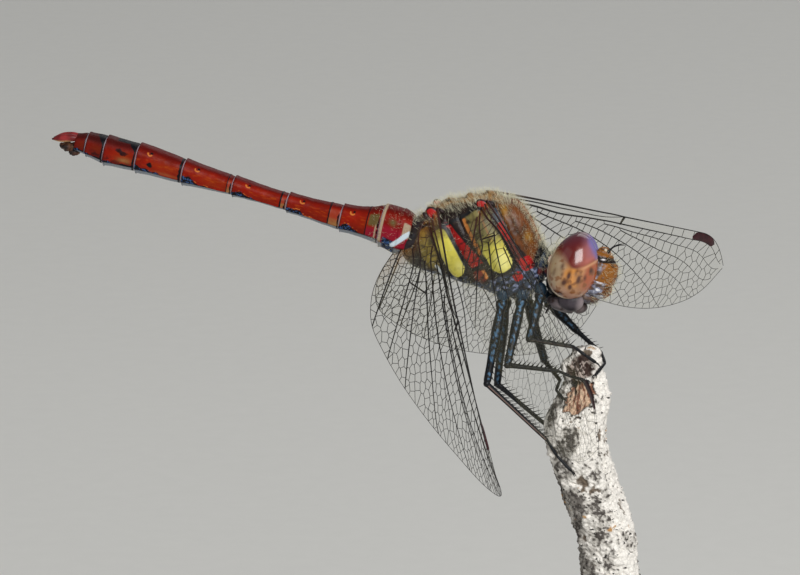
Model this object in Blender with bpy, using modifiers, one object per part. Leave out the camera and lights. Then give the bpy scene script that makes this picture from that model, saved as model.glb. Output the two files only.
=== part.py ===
"""Male common darter dragonfly, life size, gripping a cut twig on a display stand.

Units: every piece is modelled in millimetres under a holder scaled to metres.
Body axes: +X forward, +Y to the insect's left, +Z up, from the middle of the thorax.
The body sits tail up and turned a little, so its pieces hang on an empty that holds that pose.
Leg joints and the twig keep the stand's upright axes, from the same thorax point.
"""

import math

import bmesh
import bpy
import numpy as np
from mathutils import Euler, Vector

OBJECT_NAME = "dragonfly"

MILLIMETRE = 0.001

# ---- stand and pose ----
BASE_RADIUS = 20.0
BASE_HEIGHT = 4.0
BASE_BEVEL = 0.8
ROD_RADIUS = 1.1
THORAX_POINT = (-8.0, 1.5, 52.0)    # the body's own zero point above the base's underside
BODY_YAW = -10.4                    # degrees, head turned towards -Y
BODY_PITCH = 11.3                   # degrees, head down and tail up
CLEARANCE = 0.1                     # gap between neighbouring solids

# ---- twig: a leaning stick with a lumpy, rounded top ----
TWIG_TOP = (8.0, -1.6, -7.1)
TWIG_FOOT = (11.4, -1.6, -33.0)
TWIG_SIDES = 16
TWIG_RADIUS = [(0.0, 0.6), (0.03, 1.05), (0.06, 1.34), (0.1, 1.38), (0.15, 1.74), (0.2, 1.96), (0.4, 2.0),
               (0.62, 1.85), (1.0, 1.8)]
TWIG_RINGS = [0.0, 0.02, 0.05, 0.1, 0.16, 0.22, 0.3, 0.38, 0.46, 0.55, 0.64, 0.73, 0.82, 0.91, 1.0]
TWIG_SWAY = [(0.0, -0.1), (0.05, -0.72), (0.1, -0.74), (0.2, -1.58), (0.32, -1.6), (0.47, -0.9), (0.62, -0.5),
             (1.0, 0.0)]

# ---- abdomen: lengths of the ten segments from the waist back, and its outline along the body ----
ABDOMEN_START = -4.45
SEGMENT_LENGTHS = [0.75, 1.35, 2.9, 3.92, 3.98, 3.65, 3.4, 2.35, 1.35, 0.85]
SEGMENT_SIDES = 16
SEGMENT_FLARE = 0.07                # the rear rim of each segment stands out over the next
ABDOMEN_TOP = [(-29.0, 0.75), (-28.3, 1.05), (-26.6, 1.2), (-24.3, 1.2), (-21.0, 0.86), (-17.3, 0.48),
               (-13.3, 0.2), (-9.5, 0.3), (-7.6, 0.58), (-6.2, 1.02), (-5.3, 1.02), (-4.45, 0.75)]
ABDOMEN_BOTTOM = [(-29.0, -0.35), (-28.3, -0.5), (-26.6, -0.88), (-24.3, -0.87), (-21.0, -0.96), (-17.3, -0.93),
                  (-13.3, -1.15), (-9.5, -1.6), (-7.6, -1.75), (-6.2, -2.05), (-5.3, -2.3), (-4.45, -2.2)]
ABDOMEN_HALF_WIDTH = [(-29.0, 0.6), (-28.3, 0.85), (-26.6, 1.05), (-24.3, 1.08), (-21.0, 0.98), (-17.3, 0.88),
                      (-13.3, 0.78), (-9.5, 0.9), (-7.6, 1.1), (-6.2, 1.4), (-5.3, 1.45), (-4.45, 1.25)]

# ---- thorax: outline along the body ----
THORAX_TOP = [(-4.75, 0.1), (-4.2, 0.75), (-2.9, 1.9), (-1.0, 2.95), (0.5, 3.45), (2.0, 3.45),
              (3.3, 2.55), (4.35, 1.1), (4.95, 0.35), (5.25, -0.4)]
THORAX_BOTTOM = [(-4.75, -1.9), (-4.2, -2.4), (-2.9, -2.85), (-1.0, -3.0), (0.5, -3.05), (2.0, -3.35),
                 (3.3, -3.4), (4.35, -3.1), (4.95, -2.4), (5.25, -1.7)]
THORAX_HALF_WIDTH = [(-4.75, 0.8), (-4.2, 1.35), (-2.9, 1.8), (-1.0, 2.05), (0.5, 2.1), (2.0, 2.05),
                     (3.3, 1.85), (4.35, 1.45), (4.95, 0.95), (5.25, 0.45)]
THORAX_SIDES = 20
THORAX_STATIONS = [-4.75, -4.45, -4.0, -3.2, -2.2, -1.1, 0.0, 1.1, 2.0, 2.8, 3.5, 4.1, 4.6, 4.95, 5.25]

# ---- head: centre and radii of each rounded piece, in body axes before the head is turned ----
HEAD_PIVOT = (7.25, -1.42, 0.15)    # the head turns about the middle of the right eye
HEAD_TURN = (-10.7, 0.0, 3.5)       # degrees, the top of the head leans towards the left wings
EYE = ((7.25, 1.42, 0.15), (1.68, 1.6, 2.32))
EYE_TILT = 5.4                      # degrees, the top of the eye leans forward
EYE_EGG = 0.12                      # share by which the eye's upper end is narrower than its middle
FRONS = ((8.98, 0.0, 0.15), (1.3, 1.4, 1.4))
CLYPEUS = ((8.93, 0.0, -0.98), (1.2, 1.46, 0.78))
LABRUM = ((8.42, 0.0, -1.72), (0.98, 1.18, 0.54))
MANDIBLE = ((7.57, 1.25, -2.23), (0.85, 0.55, 0.7))
LABIUM = ((7.32, 0.0, -2.58), (1.4, 1.25, 0.6))
VERTEX = ((9.05, 0.0, 1.42), (0.5, 0.62, 0.42))
SKULL = ((6.85, 0.0, -0.45), (1.5, 2.0, 1.85))
PROTHORAX = ((5.2, 0.0, -0.55), (0.75, 1.15, 1.1))
ANTENNA_PATH = [(9.35, 0.45, 1.6), (9.6, 0.62, 1.96), (9.97, 0.85, 2.2), (10.4, 1.1, 2.32)]
ANTENNA_RADIUS = 0.25

# ---- tail appendages ----
CERCUS_PATH = [(-29.05, 0.36, 0.6), (-29.7, 0.4, 0.44), (-30.65, 0.3, 0.12)]
CERCUS_RADII = [0.28, 0.27, 0.13]
EPIPROCT_PATH = [(-29.05, 0.0, -0.1), (-29.5, 0.0, -0.2), (-30.05, 0.0, -0.15)]
EPIPROCT_RADII = [0.32, 0.3, 0.16]

# ---- wings: length, outline and pose. Spans run from the root, chords back from the front edge ----
WING_THICKNESS = 0.5
WING_STEPS_ALONG = 15
WING_STEPS_ACROSS = 3
TIP_ROUND_START = 0.86              # where the front edge starts to curve back to the tip
TIP_ROUND_DEPTH = 2.1
FORE_OUTLINE = [(0.0, 1.3), (0.08, 3.6), (0.2, 5.5), (0.42, 6.4), (0.68, 6.8), (0.88, 5.7), (0.96, 4.1), (1.0, 2.3)]
HIND_OUTLINE = [(0.0, 3.4), (0.03, 6.2), (0.09, 8.3), (0.2, 8.9), (0.34, 8.7), (0.6, 7.6), (0.82, 6.1), (0.94, 4.2),
                (1.0, 2.3)]
FORE_LENGTH = 28.5
HIND_LENGTH = 27.5
FORE_HINGE = (0.47, 1.54, 3.3)
HIND_HINGE = (-2.86, 1.3, 1.9)
# name: outline, length, hinge, side, sweep, droop, downward bend, pitch at root, pitch at tip (degrees)
WINGS = {
    "wing_fore_right": (FORE_OUTLINE, FORE_LENGTH, FORE_HINGE, -1, 28.6, 7.9, 11.4, -57.1, -92.3),
    "wing_fore_left": (FORE_OUTLINE, FORE_LENGTH, FORE_HINGE, 1, 32.6, 9.7, 0.8, -53.3, -80.2),
    "wing_hind_right": (HIND_OUTLINE, HIND_LENGTH, HIND_HINGE, -1, 23.7, 26.9, -11.7, -52.7, -111.5),
    "wing_hind_left": (HIND_OUTLINE, HIND_LENGTH, HIND_HINGE, 1, 23.4, 27.0, -17.7, -53.1, -84.0),
}

# ---- legs: hip, knee, ankle, then the foot's points along the twig, in the stand's axes ----
LEGS = {
    "hind_right": [(1.9, -1.5, -3.9), (0.8, -3.2, -9.5), (5.0, -3.3, -13.5), (5.7, -3.5, -14.6), (6.7, -3.8, -15.6)],
    "hind_left": [(2.2, 0.5, -4.2), (1.6, 1.3, -10.6), (5.0, -0.2, -13.2), (5.6, 0.2, -13.9), (6.5, 0.6, -14.5)],
    "mid_right": [(3.25, -1.7, -3.8), (2.2, -3.9, -8.0), (5.8, -2.8, -8.7), (6.6, -3.1, -9.0), (7.6, -3.4, -9.2)],
    "mid_left": [(3.6, 0.35, -4.3), (4.9, 1.7, -9.0), (5.95, -0.5, -9.9), (5.65, -1.7, -10.3), (6.1, -3.1, -10.6)],
    "fore_right": [(4.55, -1.7, -3.45), (3.7, -3.7, -6.2), (6.84, -2.9, -6.95), (7.63, -3.2, -7.48), (8.36, -3.1, -8.02)],
    "fore_left": [(5.05, 0.2, -4.4), (7.13, 0.9, -6.67), (8.85, -0.3, -8.02), (9.03, -1.7, -8.4), (8.35, -3.15, -8.85)],
}
COXA_RADIUS = 0.6
FEMUR_RADII = (0.36, 0.3)
TIBIA_RADII = (0.28, 0.25)
TARSUS_RADII = (0.25, 0.25)

# ---- colours (linear RGB), roughness, metallic ----
RED_SHELL = ((0.55, 0.03, 0.01), 0.3, 0.0)
BROWN_SHELL = ((0.25, 0.1, 0.03), 0.4, 0.0)
EYE_RED = ((0.22, 0.04, 0.02), 0.12, 0.0)
FACE_BUFF = ((0.5, 0.28, 0.12), 0.35, 0.0)
LEG_BLACK = ((0.02, 0.022, 0.03), 0.35, 0.0)
WING_CLEAR = ((0.55, 0.55, 0.45), 0.2, 0.0)
BARK = ((0.7, 0.66, 0.58), 0.85, 0.0)
STAND_WOOD = ((0.05, 0.035, 0.025), 0.4, 0.0)
STAND_STEEL = ((0.6, 0.6, 0.6), 0.3, 1.0)


def smooth_value(points, place):
    """Read a smooth curve through (place, value) points with easy, overshoot-free tangents."""
    places = np.array([point[0] for point in points])
    values = np.array([point[1] for point in points])
    slopes = np.diff(values) / np.diff(places)
    tangents = np.concatenate([slopes[:1], (slopes[1:] + slopes[:-1]) / 2, slopes[-1:]])
    turning = np.concatenate([[False], slopes[1:] * slopes[:-1] <= 0, [False]])
    tangents[turning] = 0.0
    index = int(np.clip(np.searchsorted(places, place) - 1, 0, len(slopes) - 1))
    width = places[index + 1] - places[index]
    t = min(max((place - places[index]) / width, 0.0), 1.0)
    start, end = values[index], values[index + 1]
    rise = width * ((t**3 - 2 * t**2 + t) * tangents[index] + (t**3 - t**2) * tangents[index + 1])
    return float(start + (end - start) * (3 * t**2 - 2 * t**3) + rise)


def make_material(name, look):
    """A Principled material with the piece's colour, roughness and metallic value."""
    colour, roughness, metallic = look
    material = bpy.data.materials.new(name)
    material.use_nodes = True
    shader = material.node_tree.nodes["Principled BSDF"]
    shader.inputs["Base Color"].default_value = (*colour, 1.0)
    shader.inputs["Roughness"].default_value = roughness
    shader.inputs["Metallic"].default_value = metallic
    return material


def add_object(name, data, parent, look):
    """Link a named piece with its own material under the given empty."""
    piece = bpy.data.objects.new(name, data)
    bpy.data.collections[OBJECT_NAME].objects.link(piece)
    piece.parent = parent
    data.materials.append(make_material(name, look))
    return piece


def mesh_from_bmesh(name, shape):
    """Close a bmesh into mesh data with outward faces and smooth shading."""
    shape.normal_update()
    bmesh.ops.recalc_face_normals(shape, faces=shape.faces)
    mesh = bpy.data.meshes.new(name)
    shape.to_mesh(mesh)
    shape.free()
    mesh.shade_smooth()
    mesh.set_sharp_from_angle(angle=math.radians(50))
    return mesh


def add_loft(name, rings, parent, look):
    """A closed solid through rings of points, with flat ends."""
    shape = bmesh.new()
    rows = [[shape.verts.new(point) for point in ring] for ring in rings]
    count = len(rows[0])
    for near, far in zip(rows, rows[1:]):
        for i in range(count):
            j = (i + 1) % count
            shape.faces.new((near[i], near[j], far[j], far[i]))
    shape.faces.new(rows[0][::-1])
    shape.faces.new(rows[-1])
    return add_object(name, mesh_from_bmesh(name, shape), parent, look)


def oval_ring(x, top, bottom, half_width, sides, squareness):
    """A ring across the body: an oval with separate top and bottom, squarer as squareness grows."""
    middle = (top + bottom) / 2
    half_height = (top - bottom) / 2
    ring = []
    for i in range(sides):
        angle = 2 * math.pi * (i + 0.5) / sides
        across, up = math.cos(angle), math.sin(angle)
        across = math.copysign(abs(across) ** squareness, across)
        up = math.copysign(abs(up) ** squareness, up)
        ring.append(Vector((x, half_width * across, middle + half_height * up)))
    return ring


def add_ellipsoid(name, centre, radii, parent, look, segments=14, rings=8, tilt=0.0, egg=0.0):
    """A ball primitive stretched to three radii, with its poles at the sides.

    A tilt in degrees leans its top forward, and egg narrows its top and widens its bottom.
    """
    shape = bmesh.new()
    bmesh.ops.create_uvsphere(shape, u_segments=segments, v_segments=rings, radius=1.0)
    cosine, sine = math.cos(math.radians(tilt)), math.sin(math.radians(tilt))
    for vertex in shape.verts:
        forward, upward, sideways = vertex.co
        fore = radii[0] * forward * (1 - egg * upward)
        side = radii[1] * sideways * (1 - egg / 2 * upward)
        high = radii[2] * upward
        leaned = (fore * cosine + high * sine, side, high * cosine - fore * sine)
        vertex.co = Vector(centre) + Vector(leaned)
    return add_object(name, mesh_from_bmesh(name, shape), parent, look)


def add_tube(name, path, radii, parent, look):
    """A tapering tube through a few points, with filled caps, turned into a mesh."""
    curve = bpy.data.curves.new(name, "CURVE")
    curve.dimensions = "3D"
    curve.bevel_depth = 1.0
    curve.bevel_resolution = 2
    curve.use_fill_caps = True
    spline = curve.splines.new("POLY")
    spline.points.add(len(path) - 1)
    for point, place, radius in zip(spline.points, path, radii):
        point.co = (*place, 1.0)
        point.radius = radius
    guide = bpy.data.objects.new(name + "_guide", curve)
    bpy.context.scene.collection.objects.link(guide)
    bpy.context.view_layer.update()
    mesh = bpy.data.meshes.new_from_object(guide.evaluated_get(bpy.context.evaluated_depsgraph_get()))
    bpy.data.objects.remove(guide)
    bpy.data.curves.remove(curve)
    shape = bmesh.new()
    shape.from_mesh(mesh)
    bpy.data.meshes.remove(mesh)
    bmesh.ops.remove_doubles(shape, verts=shape.verts, dist=0.001)
    return add_object(name, mesh_from_bmesh(name, shape), parent, look)


def carve(piece, neighbours):
    """Cut a piece back so that it keeps the clearance to each neighbour."""
    for neighbour in neighbours:
        shape = bmesh.new()
        shape.from_mesh(neighbour.data)
        shape.normal_update()
        for vertex in shape.verts:
            vertex.co += vertex.normal * CLEARANCE
        name = f"cut_{piece.name}_{neighbour.name}"
        cutter = bpy.data.objects.new(name, mesh_from_bmesh(name, shape))
        bpy.data.collections["cutters"].objects.link(cutter)
        cutter.parent = neighbour.parent
        cutter.hide_render = True
        cutter.display_type = "WIRE"
        cut = piece.modifiers.new(neighbour.name, "BOOLEAN")
        cut.operation = "DIFFERENCE"
        cut.solver = "EXACT"
        cut.object = cutter


def add_abdomen(body, thorax):
    """Ten ringed segments, each a little wider at its rear rim. The first is tucked into the thorax."""
    front = ABDOMEN_START
    segments = []
    for number, length in enumerate(SEGMENT_LENGTHS, start=1):
        rear = front - length
        rings = []
        for share in (0.0, 0.12, 0.5, 0.9, 1.0):
            x = front - CLEARANCE / 2 - share * (length - CLEARANCE)
            flare = SEGMENT_FLARE * (share**3 - (1 - share) ** 6)
            top = smooth_value(ABDOMEN_TOP, x) + flare
            bottom = smooth_value(ABDOMEN_BOTTOM, x) - flare
            half_width = smooth_value(ABDOMEN_HALF_WIDTH, x) + flare
            rings.append(oval_ring(x, top, bottom, half_width, SEGMENT_SIDES, 0.9))
        segment = add_loft(f"abdomen_s{number:02d}", rings, body, RED_SHELL)
        if number == 1:
            carve(segment, [thorax])
        segments.append(segment)
        front = rear
    return segments


def add_tail(body):
    """The upper pair of claspers and the single lower one."""
    for side, sign in (("right", -1), ("left", 1)):
        path = [(x, sign * y, z) for x, y, z in CERCUS_PATH]
        add_tube(f"cercus_{side}", path, CERCUS_RADII, body, RED_SHELL)
    add_tube("epiproct", EPIPROCT_PATH, EPIPROCT_RADII, body, FACE_BUFF)


def add_thorax(body):
    """The deep, slanted box of the thorax that carries wings and legs."""
    rings = []
    for x in THORAX_STATIONS:
        top = smooth_value(THORAX_TOP, x)
        bottom = smooth_value(THORAX_BOTTOM, x)
        half_width = smooth_value(THORAX_HALF_WIDTH, x)
        rings.append(oval_ring(x, top, bottom, half_width, THORAX_SIDES, 0.85))
    return add_loft("thorax", rings, body, BROWN_SHELL)


def mirrored(sizes, sign):
    """The same rounded piece on the side given by the sign."""
    (x, y, z), radii = sizes
    return (x, sign * y, z), radii


def split_at_middle(piece, sign):
    """Keep the part of a paired piece that lies on its own side of the middle plane."""
    shape = bmesh.new()
    shape.from_mesh(piece.data)
    cut = bmesh.ops.bisect_plane(
        shape,
        geom=shape.verts[:] + shape.edges[:] + shape.faces[:],
        plane_co=(0.0, sign * CLEARANCE / 2, 0.0),
        plane_no=(0.0, -sign, 0.0),
        clear_outer=True,
    )
    rim = [item for item in cut["geom_cut"] if isinstance(item, bmesh.types.BMEdge)]
    bmesh.ops.contextual_create(shape, geom=rim)
    bmesh.ops.recalc_face_normals(shape, faces=shape.faces)
    shape.to_mesh(piece.data)
    shape.free()


def add_head(head, body, thorax):
    """Two great eyes that meet on top, the face plates between them, the skull behind and the collar."""
    eyes = []
    for side, sign in (("right", -1), ("left", 1)):
        eye = add_ellipsoid(f"eye_{side}", *mirrored(EYE, sign), head, EYE_RED, 18, 12, EYE_TILT, EYE_EGG)
        split_at_middle(eye, sign)
        eyes.append(eye)
    done = list(eyes)
    for name, sizes in (("frons", FRONS), ("clypeus", CLYPEUS), ("labrum", LABRUM), ("vertex", VERTEX)):
        piece = add_ellipsoid(name, *sizes, head, FACE_BUFF)
        carve(piece, done)
        done.append(piece)
    for side, sign in (("right", -1), ("left", 1)):
        piece = add_ellipsoid(f"mandible_{side}", *mirrored(MANDIBLE, sign), head, FACE_BUFF, 12, 8)
        carve(piece, [eyes[0], eyes[1], done[3], done[4]])
        done.append(piece)
    labium = add_ellipsoid("labium", *LABIUM, head, FACE_BUFF, 14, 8)
    carve(labium, [eyes[0], eyes[1], done[3], done[4], done[6], done[7]])
    done.append(labium)
    collar = add_ellipsoid("prothorax", *PROTHORAX, body, BROWN_SHELL, 14, 8)
    carve(collar, eyes + [thorax])
    skull = add_ellipsoid("skull", *SKULL, head, BROWN_SHELL, 16, 10)
    carve(skull, done + [thorax, collar])
    for side, sign in (("right", -1), ("left", 1)):
        path = [(x, sign * y, z) for x, y, z in ANTENNA_PATH]
        antenna = add_tube(f"antenna_{side}", path, [ANTENNA_RADIUS] * len(path), head, LEG_BLACK)
        carve(antenna, [done[2], done[5]] + eyes)


def wing_point(wing, span_share, chord_share):
    """A point of a wing's middle surface, in body axes: bent along the span and twisted across it."""
    outline, length, hinge, side, sweep, droop, bend, root_pitch, tip_pitch = wing
    sweep, droop = math.radians(sweep), math.radians(droop)
    span = Vector((math.sin(sweep) * math.cos(droop), side * math.cos(sweep) * math.cos(droop), -math.sin(droop)))
    chord = (Vector((-1.0, 0.0, 0.0)) + span.x * span).normalized()
    up = span.cross(chord) * side
    curl = math.radians(bend) / length
    distance = span_share * length
    middle = math.sin(curl * distance) / curl * span - (1 - math.cos(curl * distance)) / curl * up
    local_up = math.cos(curl * distance) * up + math.sin(curl * distance) * span
    pitch = math.radians(root_pitch + (tip_pitch - root_pitch) * span_share)
    across = math.cos(pitch) * chord + math.sin(pitch) * local_up
    front = TIP_ROUND_DEPTH * max(0.0, (span_share - TIP_ROUND_START) / (1 - TIP_ROUND_START)) ** 2.2
    back = smooth_value(outline, span_share)
    root = Vector((hinge[0], side * hinge[1], hinge[2]))
    return root + middle + across * (front + (back - front) * chord_share)


def add_wings(body, neighbours):
    """Four thin plates, swept forward and down with their front edges raised."""
    for name, wing in WINGS.items():
        shape = bmesh.new()
        bmesh.ops.create_grid(shape, x_segments=WING_STEPS_ALONG, y_segments=WING_STEPS_ACROSS, size=0.5)
        for vertex in shape.verts:
            along = 1.0 - (0.5 - vertex.co.x) ** 1.3 if vertex.co.x < 0.5 else 1.0
            vertex.co = wing_point(wing, along, vertex.co.y + 0.5)
        plate = add_object(name, mesh_from_bmesh(name, shape), body, WING_CLEAR)
        solid = plate.modifiers.new("thickness", "SOLIDIFY")
        solid.thickness = WING_THICKNESS
        solid.offset = 0.0
        carve(plate, neighbours)


def add_legs(stance, thorax, twig):
    """Six legs of three nodes each, with a rounded coxa under the thorax."""
    for leg, points in LEGS.items():
        hip, knee, ankle = (Vector(point) for point in points[:3])
        coxa = add_ellipsoid(f"coxa_{leg}", hip, (COXA_RADIUS,) * 3, stance, LEG_BLACK, 10, 6)
        carve(coxa, [thorax])
        thigh = (knee - hip).normalized()
        femur_end = knee + thigh * FEMUR_RADII[1]
        femur = add_tube(f"femur_{leg}", [hip + thigh * 0.3, femur_end], FEMUR_RADII, stance, LEG_BLACK)
        carve(femur, [thorax, coxa])
        shin = (ankle - knee).normalized()
        tibia = add_tube(f"tibia_{leg}", [knee, ankle + shin * TIBIA_RADII[1]], TIBIA_RADII, stance, LEG_BLACK)
        carve(tibia, [femur])
        foot_radii = [TARSUS_RADII[0]] * (len(points) - 3) + [TARSUS_RADII[1]]
        tarsus = add_tube(f"tarsus_{leg}", points[2:], foot_radii, stance, LEG_BLACK)
        carve(tarsus, [tibia, twig])


def add_twig(stance):
    """The cut stick: lumpy rings along a leaning, slightly wavy line."""
    top, foot = Vector(TWIG_TOP), Vector(TWIG_FOOT)
    rings = []
    for share in TWIG_RINGS:
        centre = top.lerp(foot, share)
        centre.x += smooth_value(TWIG_SWAY, share)
        radius = smooth_value(TWIG_RADIUS, share)
        ring = []
        for i in range(TWIG_SIDES):
            angle = 2 * math.pi * i / TWIG_SIDES
            lump = 1.0 + 0.05 * math.sin(3 * angle + 17 * share) + 0.04 * math.sin(5 * angle - 31 * share)
            offset = Vector((math.cos(angle), math.sin(angle), 0.0)) * radius * lump
            ring.append(centre + offset)
        rings.append(ring)
    return add_loft("perch_twig", rings, stance, BARK)


def add_cylinder(name, radius, bottom, height, centre, parent, look, sides, bevel):
    """An upright round piece with softened edges."""
    shape = bmesh.new()
    bmesh.ops.create_cone(
        shape, cap_ends=True, segments=sides, radius1=radius, radius2=radius, depth=height
    )
    bmesh.ops.translate(shape, verts=shape.verts, vec=(0.0, 0.0, height / 2))
    piece = add_object(name, mesh_from_bmesh(name, shape), parent, look)
    piece.location = (centre[0], centre[1], bottom)
    if bevel:
        edge = piece.modifiers.new("softened edges", "BEVEL")
        edge.width = bevel
        edge.segments = 2
        edge.limit_method = "ANGLE"
    return piece


def add_stand(floor):
    """A flat round base and one short rod that ends under the twig."""
    add_cylinder("stand_base", BASE_RADIUS, 0.0, BASE_HEIGHT, (0.0, 0.0), floor, STAND_WOOD, 40, BASE_BEVEL)
    foot = Vector(THORAX_POINT) + Vector(TWIG_FOOT)
    rod_bottom = BASE_HEIGHT + CLEARANCE
    rod_length = foot.z - CLEARANCE - rod_bottom
    add_cylinder("stand_rod", ROD_RADIUS, rod_bottom, rod_length, foot, floor, STAND_STEEL, 20, 0.0)


def add_empty(name, location, rotation, parent=None):
    """An unseen holder that carries a pose; one without a parent also turns millimetres into metres."""
    empty = bpy.data.objects.new(name, None)
    bpy.data.collections[OBJECT_NAME].objects.link(empty)
    size = 1.0 if parent else MILLIMETRE
    empty.parent = parent
    empty.location = Vector(location) * size
    empty.scale = (size,) * 3
    empty.rotation_euler = [math.radians(angle) for angle in rotation]
    return empty


def main():
    for item in list(bpy.data.objects):
        bpy.data.objects.remove(item)
    for name in (OBJECT_NAME, "cutters"):
        bpy.context.scene.collection.children.link(bpy.data.collections.new(name))
    body = add_empty("body_pose", THORAX_POINT, (0.0, BODY_PITCH, BODY_YAW))
    stance = add_empty("stance", THORAX_POINT, (0.0, 0.0, 0.0))
    add_stand(add_empty("floor", (0.0, 0.0, 0.0), (0.0, 0.0, 0.0)))
    twig = add_twig(stance)
    thorax = add_thorax(body)
    segments = add_abdomen(body, thorax)
    add_tail(body)
    pivot = Vector(HEAD_PIVOT)
    turn = Euler([math.radians(angle) for angle in HEAD_TURN]).to_matrix()
    add_head(add_empty("head_pose", pivot - turn @ pivot, HEAD_TURN, body), body, thorax)
    add_wings(body, [thorax] + segments[:2])
    add_legs(stance, thorax, twig)
    bpy.context.view_layer.update()


main()
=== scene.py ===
"""Looks of a male common darter dragonfly on a lichen-crusted twig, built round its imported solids.

Shapes are worked out in millimetres and turned to metres when a mesh is made.
Body axes: X forward, Y to the insect's left, Z up, from the middle of the thorax.
Stance axes: the stand's own upright axes, from the same point.
"""

import math

import bmesh
import bpy
import numpy as np
from mathutils import Euler, Matrix, Vector, geometry, noise


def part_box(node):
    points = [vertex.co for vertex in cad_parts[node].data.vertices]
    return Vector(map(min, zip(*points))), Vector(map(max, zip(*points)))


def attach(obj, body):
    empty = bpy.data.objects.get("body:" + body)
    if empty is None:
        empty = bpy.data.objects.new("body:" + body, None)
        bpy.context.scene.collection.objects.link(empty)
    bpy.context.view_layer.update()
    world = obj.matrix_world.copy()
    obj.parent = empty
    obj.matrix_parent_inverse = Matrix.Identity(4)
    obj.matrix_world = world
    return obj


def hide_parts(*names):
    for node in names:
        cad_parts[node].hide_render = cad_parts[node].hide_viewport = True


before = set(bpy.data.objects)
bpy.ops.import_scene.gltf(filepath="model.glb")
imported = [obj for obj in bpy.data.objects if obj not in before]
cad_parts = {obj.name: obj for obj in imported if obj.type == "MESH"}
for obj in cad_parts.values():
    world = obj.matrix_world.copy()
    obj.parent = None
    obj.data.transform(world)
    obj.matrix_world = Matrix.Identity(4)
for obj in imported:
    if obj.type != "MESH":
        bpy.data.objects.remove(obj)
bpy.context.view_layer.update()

bl_info = {
    "name": "Common darter dragonfly",
    "version": (1, 0, 0),
    "blender": (4, 5, 0),
    "location": "3D View > Sidebar > Dragonfly",
    "description": "Builds a life-size dragonfly on a twig, with its wings, coat and display stand",
    "category": "Object",
}

MM = 0.001

# ---- pose ----
BODY_YAW = math.radians(-10.4)
BODY_PITCH = math.radians(11.3)
THORAX_ABOVE_BASE = (-8, 1.5, 52)   # from the middle of the stand's underside
CAMERA_TILT = math.radians(12.7)
CAMERA_DISTANCE = 400
CAMERA_AIM = (-5.21, -3.30)             # across and up from the thorax point, in the view plane
VIEW_WIDTH = 55.56
SENSOR_WIDTH = 36

# ---- abdomen ----
ABDOMEN_START = -4.45
SEGMENT_LENGTHS = [0.75, 1.35, 2.9, 3.92, 3.98, 3.65, 3.4, 2.35, 1.35, 0.85]
# each ring of skin: place forward, top, bottom, half width
ABDOMEN_RINGS = [
    (-29.2, 0.7, -0.4, 0.6), (-28.3, 1.05, -0.5, 0.85), (-26.6, 1.2, -0.88, 1.05), (-24.3, 1.2, -0.87, 1.08),
    (-21, 0.86, -0.96, 0.98), (-17.3, 0.48, -0.93, 0.88), (-13.3, 0.2, -1.15, 0.78), (-9.5, 0.3, -1.6, 0.9),
    (-7.6, 0.58, -1.75, 1.1), (-6.2, 1.02, -2.05, 1.4), (-5.3, 1.02, -2.3, 1.45), (-4.45, 0.75, -2.2, 1.25),
]

ABDOMEN_COLUMNS = 108
ABDOMEN_ROW = 0.065                     # mm between rows of its skin

# ---- thorax ----
# each ring of skin: place forward, top, bottom, half width
THORAX_RINGS = [
    (-4.75, 0.1, -1.9, 0.8), (-4.2, 0.75, -2.4, 1.35), (-2.9, 1.9, -2.85, 1.8), (-1, 2.95, -3, 2.05),
    (0.5, 3.45, -3.05, 2.1), (2, 3.45, -3.35, 2.05), (3.3, 2.55, -3.4, 1.85), (4.35, 1.1, -3.1, 1.45),
    (4.95, 0.35, -2.4, 0.95), (5.25, -0.4, -1.7, 0.45),
]
THORAX_GRID = (190, 200)                # rows and columns of its skin
PLEURA_DOWN = (0.62, -0.78)             # the side plates slant this way, forward and down

# ---- head: centre and radii, in body axes ----
# the head turns about the middle of the right eye; its top leans towards the left wings
HEAD_PIVOT = (7.25, -1.42, 0.15)
HEAD_TURN = (-10.7, 0, 3.5)
EYE = ((7.25, 1.42, 0.15), (1.7, 1.62, 2.34))
EYE_TILT = 5.4                          # degrees, the top leans forward
EYE_EGG = 0.12                          # share by which the upper end is narrower than the middle
# where the dark upper half ends, as (place forward, height), both as shares of the eye's radii
EYE_BORDER = [(-1, 0.3), (-0.5, 0.18), (-0.2, 0.05), (0, -0.02), (0.42, 0.06), (0.65, 0.2), (0.9, 0.38),
              (1, 0.45)]
# dark spots of the lower half: place forward, height, half width, half height, strength
EYE_SPOTS = [
    (0.385, -0.26, 0.07, 0.13, 1), (0.77, 0.06, 0.07, 0.06, 0.9), (-0.02, -0.26, 0.07, 0.1, 0.8),
    (-0.13, -0.52, 0.08, 0.07, 1), (0.14, -0.58, 0.07, 0.06, 1), (-0.15, -0.86, 0.08, 0.03, 1),
    (-0.39, -0.86, 0.08, 0.03, 0.9), (-0.39, -0.07, 0.07, 0.08, 0.7), (-0.62, -0.3, 0.07, 0.09, 0.5),
    (0.22, -0.12, 0.06, 0.09, 0.6), (0.6, -0.2, 0.05, 0.07, 0.6), (-0.3, -0.3, 0.05, 0.05, 0.5),
]
FRONS = ((8.98, 0, 0.15), (1.32, 1.44, 1.42))
CLYPEUS = ((8.93, 0, -0.98), (1.22, 1.5, 0.8))
LABRUM = ((8.42, 0, -1.72), (1, 1.22, 0.56))
MANDIBLE = ((7.57, 1.25, -2.23), (0.9, 0.6, 0.72))
LABIUM = ((7.32, 0, -2.58), (1.45, 1.3, 0.62))
VERTEX = ((9.05, 0, 1.42), (0.52, 0.64, 0.44))
SKULL = ((6.85, 0, -0.45), (1.55, 2.05, 1.9))
TEMPLE = ((5.78, 1.35, 0.22), (0.36, 0.3, 0.44))
ANTENNA_PATH = [(9.35, 0.45, 1.6), (9.6, 0.62, 1.96), (9.97, 0.85, 2.2), (10.4, 1.1, 2.32)]

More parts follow.
